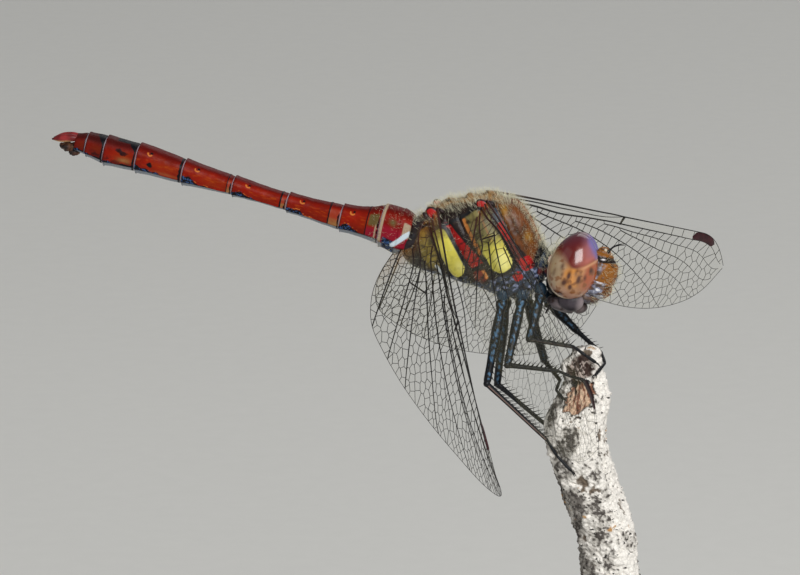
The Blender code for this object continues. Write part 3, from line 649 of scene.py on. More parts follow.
def abdomen_skin():
    """One skin over the ten rings of the abdomen, with its flared joints, keels and markings."""
    theta = np.linspace(0, 360, ABDOMEN_COLUMNS, endpoint=False)
    turn = np.minimum(theta, 360 - theta)[None, :]      # degrees down from the top, on either side
    rows = []
    start = ABDOMEN_START
    for number, size in enumerate(SEGMENT_LENGTHS, 1):
        parts = np.clip(eased(max(12, int(size / ABDOMEN_ROW)), 0.4), 0.004, 0.996)
        rows += [(start - part * size, number, part, size) for part in parts]
        start -= size
    place, ring, share, size = np.array(rows).T
    flare = 0.085 * share**4 - 0.06 * (1 - share) ** 10
    flare = np.where(ring < 2, flare * 0.3, flare)
    grid, half = body_rings(place, ABDOMEN_RINGS, np.radians(theta)[None, :], 0.9, flare)
    place, ring, share, size = (values[:, None] for values in (place, ring, share, size))
    from_front, from_rear = share * size, (1 - share) * size
    middle_rings = (ring > 2) * (ring < 8)
    # relief: a sharp keel on top, the tergite's lower edge, and each ring's cross line
    keel = 0.02 * bump(turn, 0, 12)
    lip = 0.04 * step(108, 117, turn) * fall(119, 124, turn) - 0.07 * step(119, 126, turn)
    cross_line = np.select([ring == 3, ring == 4, ring == 5, ring == 6], [1, 0.86, 0.48, 0.4], -1)
    ridge = 0.035 * bump(from_front - cross_line, 0, 0.1) * (cross_line > 0)
    ring_groove = -0.05 * fall(0.04, 0.12, from_front) * (ring > 2)
    dents = 0.022 * rough(grid, 0.8, 2) + 0.006 * rough(grid, 0.16, 21)
    lift = keel + lip + (ridge + ring_groove) * (turn < 118) + dents
    smooth_grid, grid = grid, grid + grid_normals(grid) * lift[..., None]
    # markings
    ragged = rough(smooth_grid * [0.6, 1, 1], 0.3, 22)
    specks = rough(smooth_grid, 0.11, 23, 2)
    streaks = rough(smooth_grid * [0.18, 1, 1], 0.1, 24, 2)
    wave = 5 * np.sin(place * 3.1) + 3 * np.sin(place * 7.3 + 1) + 7 * ragged
    border = 121 - 22 * step(0.4, 0.92, share) * middle_rings - 8 * (ring > 7) + wave * step(0.2, 0.6, share)
    low_black = step(border - 2, border + 2, turn) * fall(127, 129, turn) * (ring > 2)
    rim = np.abs(turn - border + 4.5)
    rim_line = fall(0.8, 2.2, rim) * step(0.35, 0.5, share) * fall(0.82, 0.95, share)
    rim_line = rim_line * (ring > 2) * (ring < 7)
    strip = np.select([ring == 7, ring == 8, ring == 9, ring == 10], [0.24, 0.2, 0.18, 0.08], 0.16)
    strip = strip + (ring == 8) * 0.4 * fall(28, 62, turn) + (ring == 9) * 0.3 * fall(28, 62, turn)
    front_black = fall(strip, strip + 0.08, from_front + 0.06 * ragged) * step(0.08, 0.11, from_front)
    front_black = front_black * (ring > 2) * np.where(ring < 7, step(50, 75, turn), 1)
    line = fall(0.03, 0.06, np.abs(from_front - cross_line)) * (cross_line > 0) * (turn < 124)
    dorsal = (ring == 8) * fall(0.6, 0.75, share) + (ring == 9) * (share < 0.5)
    dorsal = fall(20, 27, turn + 6 * ragged) * dorsal
    along_side = (turn - 50) / 57.3 * half
    to_rear = from_rear - 0.27 * size
    spot_out = np.hypot(to_rear, along_side)
    comma = fall(0.03, 0.075, np.abs(spot_out - 0.15)) * step(-0.06, 0.02, along_side - 0.4 * to_rear)
    comma = comma * middle_rings
    pit = fall(0.07, 0.13, np.hypot(to_rear - 0.1, along_side + 0.08)) * middle_rings
    lower = (turn - 92) / 57.3 * half
    blot = fall(0.12, 0.24, np.hypot(0.8 * (from_rear - 0.3 * size), lower) + 0.07 * ragged)
    small_blot = np.hypot(from_rear - 0.55, lower - 0.15) + 0.1 * ragged
    blot = blot * (ring == 7) + 0.7 * (ring == 6) * fall(0.1, 0.3, small_blot)
    stain = np.hypot(0.5 * (from_rear - 1.3), (turn - 70) / 57.3 * half)
    blot = blot + 0.7 * (ring == 8) * fall(0.1, 0.36, stain + 0.3 * ragged)
    soot = (ring > 7) * (ring < 10) * step(88, 104, turn) * step(-0.1, 0.35, ragged + 0.5 * specks)
    seam = fall(0.06, 0.1, from_front) * (ring > 2)
    tan_line = (ring == 2) * fall(0.16, 0.24, from_rear)
    tan_line = tan_line + (ring == 3) * bump(from_front, 0.3, 0.1) * step(70, 90, turn)
    slant = 118 - 43 * (place + 5.55) / 1.2
    pale_strip = (ring <= 2) * fall(6, 10, np.abs(turn - slant)) * step(-5.75, -5.5, place)
    waist_grey = (ring == 1) * step(50, 58, turn) * fall(86, 96, turn) * step(-5, -4.85, place)
    navy = step(-6.4, -6.1, place) * fall(-5.5, -5.2, place) * step(100, 108, turn)
    front_zone = (cross_line > 0) * (from_front < cross_line) * (ring > 3)
    rear_edge = 0.7 * fall(0.03, 0.16, from_rear) * (ring > 2)
    black = clamp(low_black + front_black + line + dorsal + pit + blot + (ring <= 2) * navy)
    olive = (ring == 3) * step(0.12, 0.24, from_front) * fall(0.8, 0.95, from_front)
    olive = olive * fall(14, 24, np.abs(turn - 66))
    olive = olive + (ring == 2) * bump(turn, 64, 16) * bump(from_front, 0.5, 0.45)
    magenta = (ring <= 2) * step(66, 88, turn)
    magenta = magenta + (ring == 3) * step(84, 96, turn) * fall(0.95, 1.05, from_front)
    flush = bump(turn, 84, 34) * bump(share, 0.36, 0.5) * (ring > 2) * np.where(ring > 5, 1, 0.45)
    tan = (ring == 8) * bump(turn, 99, 14) * bump(share, 0.32, 0.36)
    tan = tan + (ring == 7) * bump(turn, 110, 10) * 0.5 * bump(share, 0.3, 0.5)
    tan = tan + front_zone * step(84, 100, turn)
    dusk = ((ring == 8) * 0.8 + (ring == 9) * 0.7 + (ring == 10) * 0.4) * fall(40, 70, turn)
    # blue is painted glints: blue speckles painted on the black lower patches as reflections
    blue = low_black * step(0.05, 0.4, specks) * step(0.25, 0.6, share)
    fields = {
        "back": clamp(fall(22, 50, turn) + 0.5 * (ring > 6) * fall(40, 85, turn)),
        "dusk": dusk + (ring > 8) * 0.45 + 0.8 * soot,
        "flush": flush * (0.5 + 0.5 * streaks),
        "streak": step(0.15, 0.5, streaks) * bump(turn, 78, 40) * middle_rings * 0.55,
        "salmon": front_zone * step(35, 60, turn) * 0.8,
        "magenta": clamp(magenta) * fall(118, 124, turn),
        "tan": clamp(tan) * (0.8 + 0.5 * ragged),
        "olive": olive,
        "rear_edge": rear_edge,
        "orange": clamp(comma + rim_line * step(-0.2, 0.1, ragged)),
        "black": black,
        "blue": blue + (ring <= 2) * navy * step(-0.1, 0.2, specks),
        "belly": step(126, 130, turn),
        "joint": clamp(seam),
        "band": clamp(tan_line + waist_grey) * fall(124, 130, turn),
        "pale": clamp(pale_strip),
    }
    return sleeve(grid, fields)


class BuildAbdomen(bpy.types.Operator):
    """Build the ten-ringed abdomen and its tail appendages"""

    bl_idname = "object.dragonfly_abdomen"
    bl_label = "Abdomen"

    def execute(self, context):
        colours = context.scene.dragonfly_colours
        # Scarlet chitin, smooth grown cuticle: a clean waxy gloss over mottled orange red, with painted blue
        # glints on the black lower patches.
        red = chitin(
            "scarlet chitin, smooth grown cuticle", tinted(colours.scarlet), tinted(colours.scarlet, 0.62),
            [
                ("flush", "#8A340C", 1), ("streak", "#A03C0C", 1), ("back", tinted(colours.crimson), 1),
                ("dusk", "#3E0E0C", 1), ("salmon", "#8E3420", 0.8), ("magenta", "#861426", 0.8),
                ("tan", "#8E6238", 1), ("olive", "#5E4E2C", 0.8), ("rear_edge", "#4A0C05", 1),
                ("orange", "#C06C2A", 0.6), ("belly", "#8A9098", 0.4), ("black", "#0E0D12", 0.5),
                ("blue", "#33507E", 0.6), ("band", "#A08C74", 0.5), ("joint", "#A59AA4", 0.5),
                ("pale", "#C4D2DA", 0.5),
            ],
            rough_range=(0.32, 0.45), grain=0.16, relief=0.01, Coat_Weight=0.02, Coat_Roughness=0.2,
            Specular_IOR_Level=0.08,
        )
        rings = [f"abdomen_s{number:02d}" for number in range(1, len(SEGMENT_LENGTHS) + 1)]
        make_piece("abdomen_shell", abdomen_skin(), red, rings)
        # Pinkish chitin, soft grown cuticle: paler and duller where the appendages are thin.
        pink = chitin(
            "pink chitin, soft grown cuticle", "#8E2A2C", "#64181A",
            [("pale", "#C9A06A", 1), ("dark", "#2A0D0B", 1)], grain=0.1,
        )
        cercus = tube(CERCUS_PATH, CERCUS_RADII, sides=24, turns=12, bulge=0.8)
        along, over = cercus[2]["along"], cercus[2]["over"]
        underside = step(0.3, 0.9, -over) * step(0.1, 0.5, along)
        cercus = with_fields(cercus, dark=step(0.82, 1, along), pale=underside)
        make_pair("cercus_skin", cercus, pink, "cercus")
        plate = tube(EPIPROCT_PATH, EPIPROCT_RADII, sides=24, turns=10, bulge=0.6)
        lobes = [ball((-28.95, sign * 0.33, -0.4), (0.4, 0.26, 0.28), 16, 24) for sign in (-1, 1)]
        points, faces, fields = join([plate, *lobes])
        crumple = rough(points, 0.3, 25)
        plate = (points + 0.09 * crumple[:, None], faces, fields)
        plate = with_fields(plate, dark=step(0, 0.4, -crumple), pale=step(0, 0.5, crumple))
        brown = chitin(
            "brown chitin, thin grown cuticle", "#5E3A28", "#38201A",
            [("pale", "#7C5E44", 1), ("dark", "#1E1410", 1)], rough_range=(0.4, 0.55), grain=0.1,
        )
        make_piece("epiproct_skin", plate, brown, ["epiproct"])
        return {"FINISHED"}


# ---- thorax ----


def thorax_skin():
    """The thorax as one skin: slanted side plates, sutures, keel, tergal plates and markings."""
    rows, columns = THORAX_GRID
    place = -4.72 + 9.94 * eased(rows, 0.12)
    angle = circle(columns)[None, :]
    grid, half = body_rings(place, THORAX_RINGS, angle, 0.85)
    normals = grid_normals(grid)
    fore, side, high = (grid[..., k] for k in range(3))
    upper = np.cos(angle) > 0
    # mm down the slanting side plates, and mm across them, forward and up
    down = fore * PLEURA_DOWN[0] + high * PLEURA_DOWN[1]
    across = -fore * PLEURA_DOWN[1] + high * PLEURA_DOWN[0]
    flank = step(0.25, 0.6, np.abs(side) / np.maximum(half, 0.3))
    side_plates = flank * fall(2.5, 3.4, down) * step(-2.6, -2, down)
    seams = ((-2.3, 0.16), (-0.76, 0.16), (0.1, 0.13), (2.24, 0.16), (2.86, 0.12))
    sutures = sum(bump(across, *seam) for seam in seams)
    front_pad, rear_pad = ((across - 1.48) / 0.76 * math.pi / 2, (across + 1.5) / 0.72 * math.pi / 2)
    pads = 0.11 * (np.cos(front_pad).clip(0) + np.cos(rear_pad).clip(0))
    pads += 0.06 * np.cos((across + 0.33) / 0.42 * math.pi / 2).clip(0)
    keel_zone = step(1.6, 2.4, fore) * upper
    keel = 0.16 * bump(side, 0, 0.16) * keel_zone - 0.08 * bump(np.abs(side), 0.32, 0.2) * keel_zone
    middle_back = upper * fall(1.3, 1.9, fore)
    back_plates = ((0.45, 0.75), (-0.95, 0.5), (-2.35, 0.6), (-3.5, 0.4))
    tergites = sum(bump(fore, *plate) for plate in back_plates)
    tergites = middle_back * (0.26 * tergites * bump(side, 0, 0.75) - 0.14 * bump(np.abs(side), 0.85, 0.3))
    shelf = -0.12 * bump(np.abs(side), 1.25, 0.3) * middle_back
    lip_fore = 0.12 * bump(down, -1.75 - 0.25 * (across - 1), 0.22) * flank * step(0.3, 0.8, across)
    wrinkles = 0.03 * rough(grid, 0.5, 4) * (1 + 1.5 * step(2.6, 3.4, down))
    lift = side_plates * (pads - 0.1 * sutures) + keel + tergites + shelf + lip_fore + wrinkles
    grid = grid + normals * lift[..., None]

    def marking(low, high_corner, rounding, soft=0.05):
        return fall(-soft, soft, box_distance(down, across, low, high_corner, rounding)) * flank

    def outline(low, high_corner, rounding, width=0.13):
        distance = box_distance(down, across, low, high_corner, rounding)
        return fall(width / 2, width / 2 + 0.06, np.abs(distance - width / 2)) * flank

    rear_patch = ((-2, -2.2), (1.58, -0.94), 0.6)
    front_patch = ((-0.25, 0.6), (2.62, 2.24), 0.64)
    wander = rough(grid, 0.5, 51)
    yellow = marking(*rear_patch) * (0.35 + 0.65 * step(-1.9, -0.9, down))
    yellow = yellow + marking(*front_patch, 0.16) * (0.3 + 0.7 * step(0, 1, down))
    black = outline(*rear_patch) + outline(*front_patch) * step(0.6, 1.4, down)
    band_middle, band_half = -0.45 + 0.17 * down, 0.37 + 0.1 * down
    band = fall(band_half - 0.05, band_half + 0.03, np.abs(across - band_middle) + 0.04 * wander) * flank
    band = band * step(-2.25, -2.1, down) * fall(1.4, 1.5, down)
    band_rim = bump(np.abs(across - band_middle) - band_half, 0.09, 0.12)
    black += band_rim * flank * step(-2.2, -1.9, down) * fall(1.5, 1.7, down)
    fore_seam, rear_seam = (bump(across, *seam) * flank for seam in ((2.86, 0.08), (2.27, 0.09)))
    black += fore_seam * fall(2.4, 2.6, down) + rear_seam * fall(2.4, 2.6, down)
    black += bump(down, -2.05, 0.2) * flank * step(-2.2, -1.6, across)
    black += bump(down, 1.62, 0.2) * flank * bump(across, -0.3, 0.8)
    black += marking((2.35, 0.1), (2.75, 0.9), 0.15, 0.15)
    under = step(2.65, 3.1, down + 0.2 * wander) * flank
    under = np.maximum(under, fall(-2.75, -2.35, high))
    under = np.maximum(under, step(1.62, 1.85, down) * fall(-1.35, -1, across) * flank)
    black += step(0.1, 0.45, rough(grid, 0.32, 52)) * under * 0.9
    waist = fall(-4.1, -3.5, fore + 0.25 * high)
    red = band + marking((2.3, 2.5), (3.3, 3.35), 0.25) + marking((3, 1.65), (3.7, 2.3), 0.25)
    red += marking((-0.6, 2.32), (0.75, 2.8), 0.12)
    for root_f, root_u, reach in ((-3.1, 1.35, 0.46), (0.25, 3.05, 0.46)):
        slide = (fore - root_f) * 0.5 - (high - root_u) * 0.87
        climb = (fore - root_f) * 0.87 + (high - root_u) * 0.5
        away = np.hypot(climb * 0.85, slide * 1.25) + 0.08 * wander
        red += fall(reach - 0.05, reach + 0.05, away) * flank
        black += bump(away, reach + 0.12, 0.14) * flank
    collar_front = step(4.25, 4.6, fore) * step(-0.8, 0, high)
    black += 0.9 * collar_front * (1 - red)
    yellow, under = clamp(yellow), clamp(under)
    dome_edge = 2.74 + 0.1 * down + 0.03 * down**2
    # a painted reflection: lighter golden streaks where the front dome catches the light
    dome_light = bump(across, 3.15, 0.4) * bump(down, -1.3, 0.9)
    dome_light = dome_light + 0.8 * bump(across, 3.75, 0.3) * bump(down, 1.2, 0.6)
    dome_dark = bump(across, dome_edge + 0.55, 0.55) * bump(down, 0.4, 1.3)
    amber_line = marking((-1.9, 0.28), (0.9, 0.52), 0.08)
    lemon = marking((1.2, 1.2), (2.5, 2.1), 0.4, 0.3)
    blue_grey = marking((-1.6, 2.2), (-0.6, 2.75), 0.12, 0.2)
    bare = 0.8 - 0.55 * yellow - 0.35 * step(dome_edge, dome_edge + 0.3, across)
    streaks = rough(np.stack([down * 0.35, across, side], axis=-1), 0.22, 53)
    fields = {
        "dome": step(dome_edge, dome_edge + 0.08, across) * flank + upper * step(1.2, 2, fore) * (1 - flank),
        "dome_dark": dome_dark * flank * (0.8 + 0.5 * streaks),
        "dome_light": dome_light * flank,
        # a painted highlight along the forward rim of the dome
        "dome_rim": step(1, 1.5, across - dome_edge) * flank * step(0.2, 0.9, fore),
        "keel": bump(side, 0, 0.2) * keel_zone,
        "tan_back": middle_back * (1 - flank),
        "olive": marking((-2, 0.5), (0.2, 2.15), 0.3, 0.25) * (0.8 + 0.6 * streaks),
        "amber_line": amber_line + 0.6 * marking((-1.8, 1.5), (0.4, 1.66), 0.06),
        "gold": marking((-2.4, -3.5), (0.5, -2.45), 0.5, 0.3) * (0.8 + 0.6 * streaks),
        "yellow": yellow,
        "lemon": lemon + 0.7 * marking((0.6, -1.5), (1.4, -1.05), 0.3, 0.3),
        "dark_red": marking((-0.2, 2.26), (2.45, 2.92), 0.16, 0.1),
        "blue_grey": clamp(blue_grey + marking((-1.6, -1.02), (1.2, -0.86), 0.05)),
        "rust": marking((1.75, -0.85), (2.75, 0), 0.35, 0.1),
        "rust_rim": marking((1.85, -0.1), (2.6, 0.08), 0.08, 0.05),
        "red": clamp(red),
        "under": under,
        "fleck": under * step(0.2, 0.45, rough(grid, 0.26, 57, 3)),
        "waist": waist,
        "mottle": step(-0.1, 0.7, rough(grid, 0.4, 54, 4)) * bare,
        "black": clamp(black),
        "pale": marking((0.2, -3), (1.8, -2.75), 0.08, 0.06),
    }
    return sleeve(grid, fields)


def wing_roots():
    """The hinge plates that the wings grow from: four rounded plates for each wing."""
    shapes = []
    for hinge in (FORE_HINGE, HIND_HINGE):
        for sign in (-1, 1):
            for shift, radii, tilt, red in (
                ((-0.22, 0, -0.42), (0.56, 0.2, 0.4), 60, 1),
                ((-0.66, 0.04, -0.72), (0.34, 0.15, 0.17), 50, 0),
                ((0.32, 0.04, -0.12), (0.3, 0.17, 0.16), 70, 0.2),
                ((0.12, 0.08, -0.78), (0.26, 0.13, 0.11), 20, 0.1),
            ):
                points, faces, fields = ball((0, 0, 0), radii, 28, 36)
                points = lean(points, 90 - tilt) + np.array(hinge) + np.array(shift)
                rim = step(0.72, 0.86, np.hypot(fields["nx"], fields["nz"]) + 0.12 * rough(points, 0.3, 56))
                plate = (points * [1, sign, 1], faces, {"red": red * (1 - rim)})
                shapes.append(plate)
    return join(shapes)


class BuildThorax(bpy.types.Operator):
    """Build the thorax, its wing hinges and the collar behind the head"""

    bl_idname = "object.dragonfly_thorax"
    bl_label = "Thorax"

    def execute(self, context):
        colours = context.scene.dragonfly_colours
        # Brown chitin, satin grown cuticle: thick side plates with painted-looking patches and dark seams,
        # with a painted reflection on the front dome and a painted highlight along its rim.
        brown = chitin(
            "brown chitin, satin grown cuticle", "#2E1A10", "#140C0A",
            [
                ("tan_back", "#8E6A3C", 1), ("dome", tinted(colours.brown), 0.6),
                ("dome_dark", "#2E1808", 1), ("dome_light", "#9A7028", 1), ("dome_rim", "#8A4A22", 1),
                ("keel", "#8E5A36", 0.8), ("olive", "#7E7444", 0.6), ("amber_line", "#A8682C", 0.6),
                ("gold", "#8E7A2C", 0.8), ("yellow", tinted(colours.yellow), 0.8),
                ("lemon", "#E6DE84", 1), ("dark_red", "#54100F", 0.5), ("blue_grey", "#3E4A58", 0.6),
                ("under", "#2C384C", 0.7), ("fleck", "#7E86A4", 0.8), ("waist", "#2A2426", 0.8),
                ("rust", "#7A2414", 0.6), ("rust_rim", "#C07A3A", 0.6),
                ("red", tinted(colours.red_band), 0.5), ("mottle", "#160A08", 0.8),
                ("pale", "#C9D2D6", 0.5), ("black", "#0B0A0D", 0.5),
            ],
            rough_range=(0.34, 0.52), grain=0.14, relief=0.016, Coat_Weight=0.1, Coat_Roughness=0.2,
        )
        make_piece("thorax_shell", thorax_skin(), brown, ["thorax"])
        # Red chitin, polished grown cuticle: small bright hinge plates at the wing roots.
        hinge = chitin(
            "red chitin, polished grown cuticle", "#15100F", "#2A1210",
            [("red", tinted(colours.red_band, 1.1), 0.6)], rough_range=(0.3, 0.45), grain=0.1,
        )
        make_piece("wing_hinges", wing_roots(), hinge)
        # Dark chitin, dull grown cuticle: the narrow collar, black with a bluish bloom.
        collar_parts = [
            ball((4.95, 0, -0.5), (0.34, 1.2, 1.15), 32, 48),
            ball((5.4, 0, -0.45), (0.3, 0.95, 0.95), 32, 48),
            ball((5.75, 0, -0.55), (0.35, 0.6, 0.7), 28, 40),
        ]
        collar = join(collar_parts)
        nz, ny = collar[2]["nz"], np.abs(collar[2]["ny"])
        collar = with_fields(collar, bloom=step(0.1, 0.8, ny), ruddy=bump(nz, -0.3, 0.4) * step(0.4, 0.8, ny))
        dark = chitin(
            "dark chitin, dull grown cuticle", "#16161C", "#0A090C",
            [("bloom", "#2E3A4A", 1), ("ruddy", "#6A2A2A", 0.8)], rough_range=(0.4, 0.6),
        )
        make_piece("collar_shell", collar, dark, ["prothorax"])
        return {"FINISHED"}


# ---- head ----


def eye_skin():
    """The left compound eye: a tall egg, leaning forward and cut flat where it meets the right one."""
    centre, radii = EYE
    points, faces, fields = ball((0, 0, 0), radii, rows=130, columns=200)
    x, y, z = facing(fields)
    points = points * np.stack([1 - EYE_EGG * z, 1 - EYE_EGG / 2 * z, 1 + 0 * z], axis=1)
    points = lean(points, EYE_TILT) + np.array(centre)
    points[:, 1] = np.maximum(points[:, 1], 0.012)
    wander = rough(points, 0.9, 31)
    border = smooth(EYE_BORDER, x)
    spots = np.zeros(len(x))
    for spot_x, spot_z, wide, tall, strong in EYE_SPOTS:
        spots += strong * np.exp(-(((x - spot_x) / wide / 1.2) ** 2) - ((z - spot_z) / tall / 1.45) ** 2)
    soft = 0.07 + 0.16 * step(0.1, -0.4, x)
    low = fall(border - 0.06, border + 0.06, z)
    fields = {
        "top": step(border - soft, border + soft, z),
        "pink": step(-0.3, 0.6, x - 0.25 * z + 0.15 * wander) * step(border - 0.06, border + 0.2, z),
        "plum": step(0.5, 0.95, z - 0.3 * x) * 0.8,
        # lilac and violet are a painted reflection: a lilac to violet sheen painted over the upper front of
        # the eye
        "lilac": step(0.35, 0.95, x * 0.8 + z * 0.55) * step(border + 0.05, border + 0.4, z) * 0.65,
        "violet": 0.85 * step(0.76, 0.98, x * 0.68 + z * 0.73 + 0.04 * wander) * step(0.25, 0.5, z),
        "glow": bump(z - border, 0, 0.1) * step(0.1, 0.55, x),
        "grey": low * fall(-0.45, 0, x + 0.25 * wander),
        "orange": low * bump(x + 0.2 * wander, 0.12, 0.55) * fall(-0.45, -0.85, z),
        "brick": low * step(0.3, 0.75, x + 0.15 * wander) * fall(-0.4, -0.85, z),
        "rosy": low * step(-0.6, -0.92, z + 0.1 * wander),
        "blotch": low * step(0.1, 0.5, rough(points, 0.45, 32)) * 0.8,
        "spots": clamp(1.25 * spots * (1 + 0.6 * wander)) * step(0.1, 0.3, y),
        "rim": fall(0.3, 0.38, y) * fall(-0.2, 0.5, x) * fall(0.15, 0.5, z),
    }
    return points, faces, fields


def face_parts():
    """The plates between the eyes, each with its own folds, as (name, shape, replaced node)."""
    plates = []
    for name, size, node, squareness in (
        ("frons_plate", FRONS, "frons", 0.92), ("clypeus_plate", CLYPEUS, "clypeus", 0.85),
        ("labrum_plate", LABRUM, "labrum", 0.88), ("vertex_plate", VERTEX, "vertex", 1),
    ):
        points, faces, fields = ball(*size, rows=72, columns=110, squareness=squareness)
        x, y, z = facing(fields)
        wander = rough(points, 0.45, 41)
        points = points - 0.05 * rough(points, 0.3, 42)[:, None] * np.stack([x, y, z], axis=1)
        edge = {"frons": -0.1, "clypeus": 0.3, "labrum": 0.2, "vertex": -1.4}[node]
        orange = front = step(edge, edge + 0.35, x + 0.35 * wander)
        ribs = rough(points * [0.6, 0.6, 1.6], 0.5, 45)
        # steel and pale are painted reflections: blue-grey and white painted on the side of each plate that
        # is turned away from its orange front
        steel = (1 - front) * step(-0.3, 0.1, ribs) * (0.55 if node == "labrum" else 0.9)
        pale = (1 - front) * step(0.22, 0.45, ribs + 0.3 * wander) * step(-0.5, 0.1, x)
        grain = 0.75 * front * step(0, 0.5, rough(points * [0.6, 0.6, 1.4], 0.36, 47, 2))
        black = step(0.2, 0.55, rough(points, 0.34, 43)) * (0.5 - 0.25 * front)
        if node == "frons":
            pale = pale * step(-0.9, -0.2, z)
            groove = bump(points[:, 1], 0, 0.3) * step(0.3, 0.9, z)
            points -= np.stack([0.12 * groove, 0 * groove, 0.2 * groove], axis=1)
            gap = step(0.4, 0.5, z + 0.08 * wander) * fall(0.72, 0.8, z)
            points -= 0.1 * gap[:, None] * np.stack([x, y, z], axis=1)
            shadow = 0.85 * bump(x + 0.2 * wander, -0.42, 0.16) * step(-0.5, 0.1, z)
            black = np.maximum(black, np.maximum(gap, shadow))
            orange = np.maximum(orange, step(0.74, 0.8, z))
            steel = steel * fall(0.7, 0.78, z)
            pale = pale * fall(0.35, 0.45, z)
            fields["glint"] = bump(z, 0.64, 0.09) * bump(x, 0.12, 0.22) * step(0.5, 0.8, np.abs(y))
        if node == "clypeus":
            fold = bump(z, 0.2, 0.12)
            points -= np.stack([0.08 * fold * x, 0.05 * fold * y, 0 * fold], axis=1)
            orange = 0.8 * orange
            black = np.maximum(black, bump(z, 0.2, 0.07) * 0.8)
        if node == "labrum":
            orange = 0.5 * orange * step(-0.4, 0.2, z)
            pale = 0.9 * bump(z, -0.75, 0.14) * (x < 0.35)
            black = np.maximum(black, 0.6 * step(0.1, -0.7, z))
        if node == "vertex":
            points[:, 2] -= 0.1 * bump(points[:, 1], 0, 0.2)
            steel = 0 * x
            black = step(0.15, -0.3, z)
            orange = step(0, 0.4, z)
        fields.update(orange=orange, steel=steel, pale=pale, grain=grain, black=black)
        plates.append((name, (points, faces, fields), node))
    return plates


def skull_skin():
    """The hollow-backed hind face of the head, with a tan mark behind each eye."""
    points, faces, fields = ball(*SKULL, rows=64, columns=96, squareness=0.95)
    x, y, z = facing(fields)
    points[:, 0] += 0.3 * step(-0.2, -0.9, x) * bump(z, 0.1, 0.9)
    points += 0.03 * rough(points, 0.4, 44)[:, None]
    fields["mark"] = bump(z, 0.6, 0.2) * bump(np.abs(y), 0.52, 0.28) * (x < 0)
    fields["rust"] = bump(z, -0.25, 0.3) * bump(np.abs(y), 0.6, 0.3) * (x < 0)
    return points, faces, fields


def lower_lip():
    """The lower lip: a middle groove, and a notch across it that sets off the lobe in front."""
    points, faces, fields = ball(*LABIUM, rows=56, columns=80, squareness=0.92)
    x, y, z = facing(fields)
    points[:, 2] += 0.22 * bump(points[:, 1], 0, 0.22) * step(0.1, -0.6, z)
    notch = bump(x, 0.42, 0.12)
    points -= 0.19 * notch[:, None] * np.stack([x, y, z], axis=1)
    patches = rough(points, 0.4, 48)
    lobes = bump(x, -0.15, 0.35) + bump(x, 0.75, 0.25)
    fields["pale"] = clamp(step(0.2, 0.9, np.abs(y)) * (0.35 + 0.5 * lobes) + 0.5 * patches)
    dark = np.maximum(notch, 0.5 * step(0.42, 0.6, x))
    fields["dark"] = np.maximum(dark, step(0.1, 0.5, -patches))
    return points, faces, fields


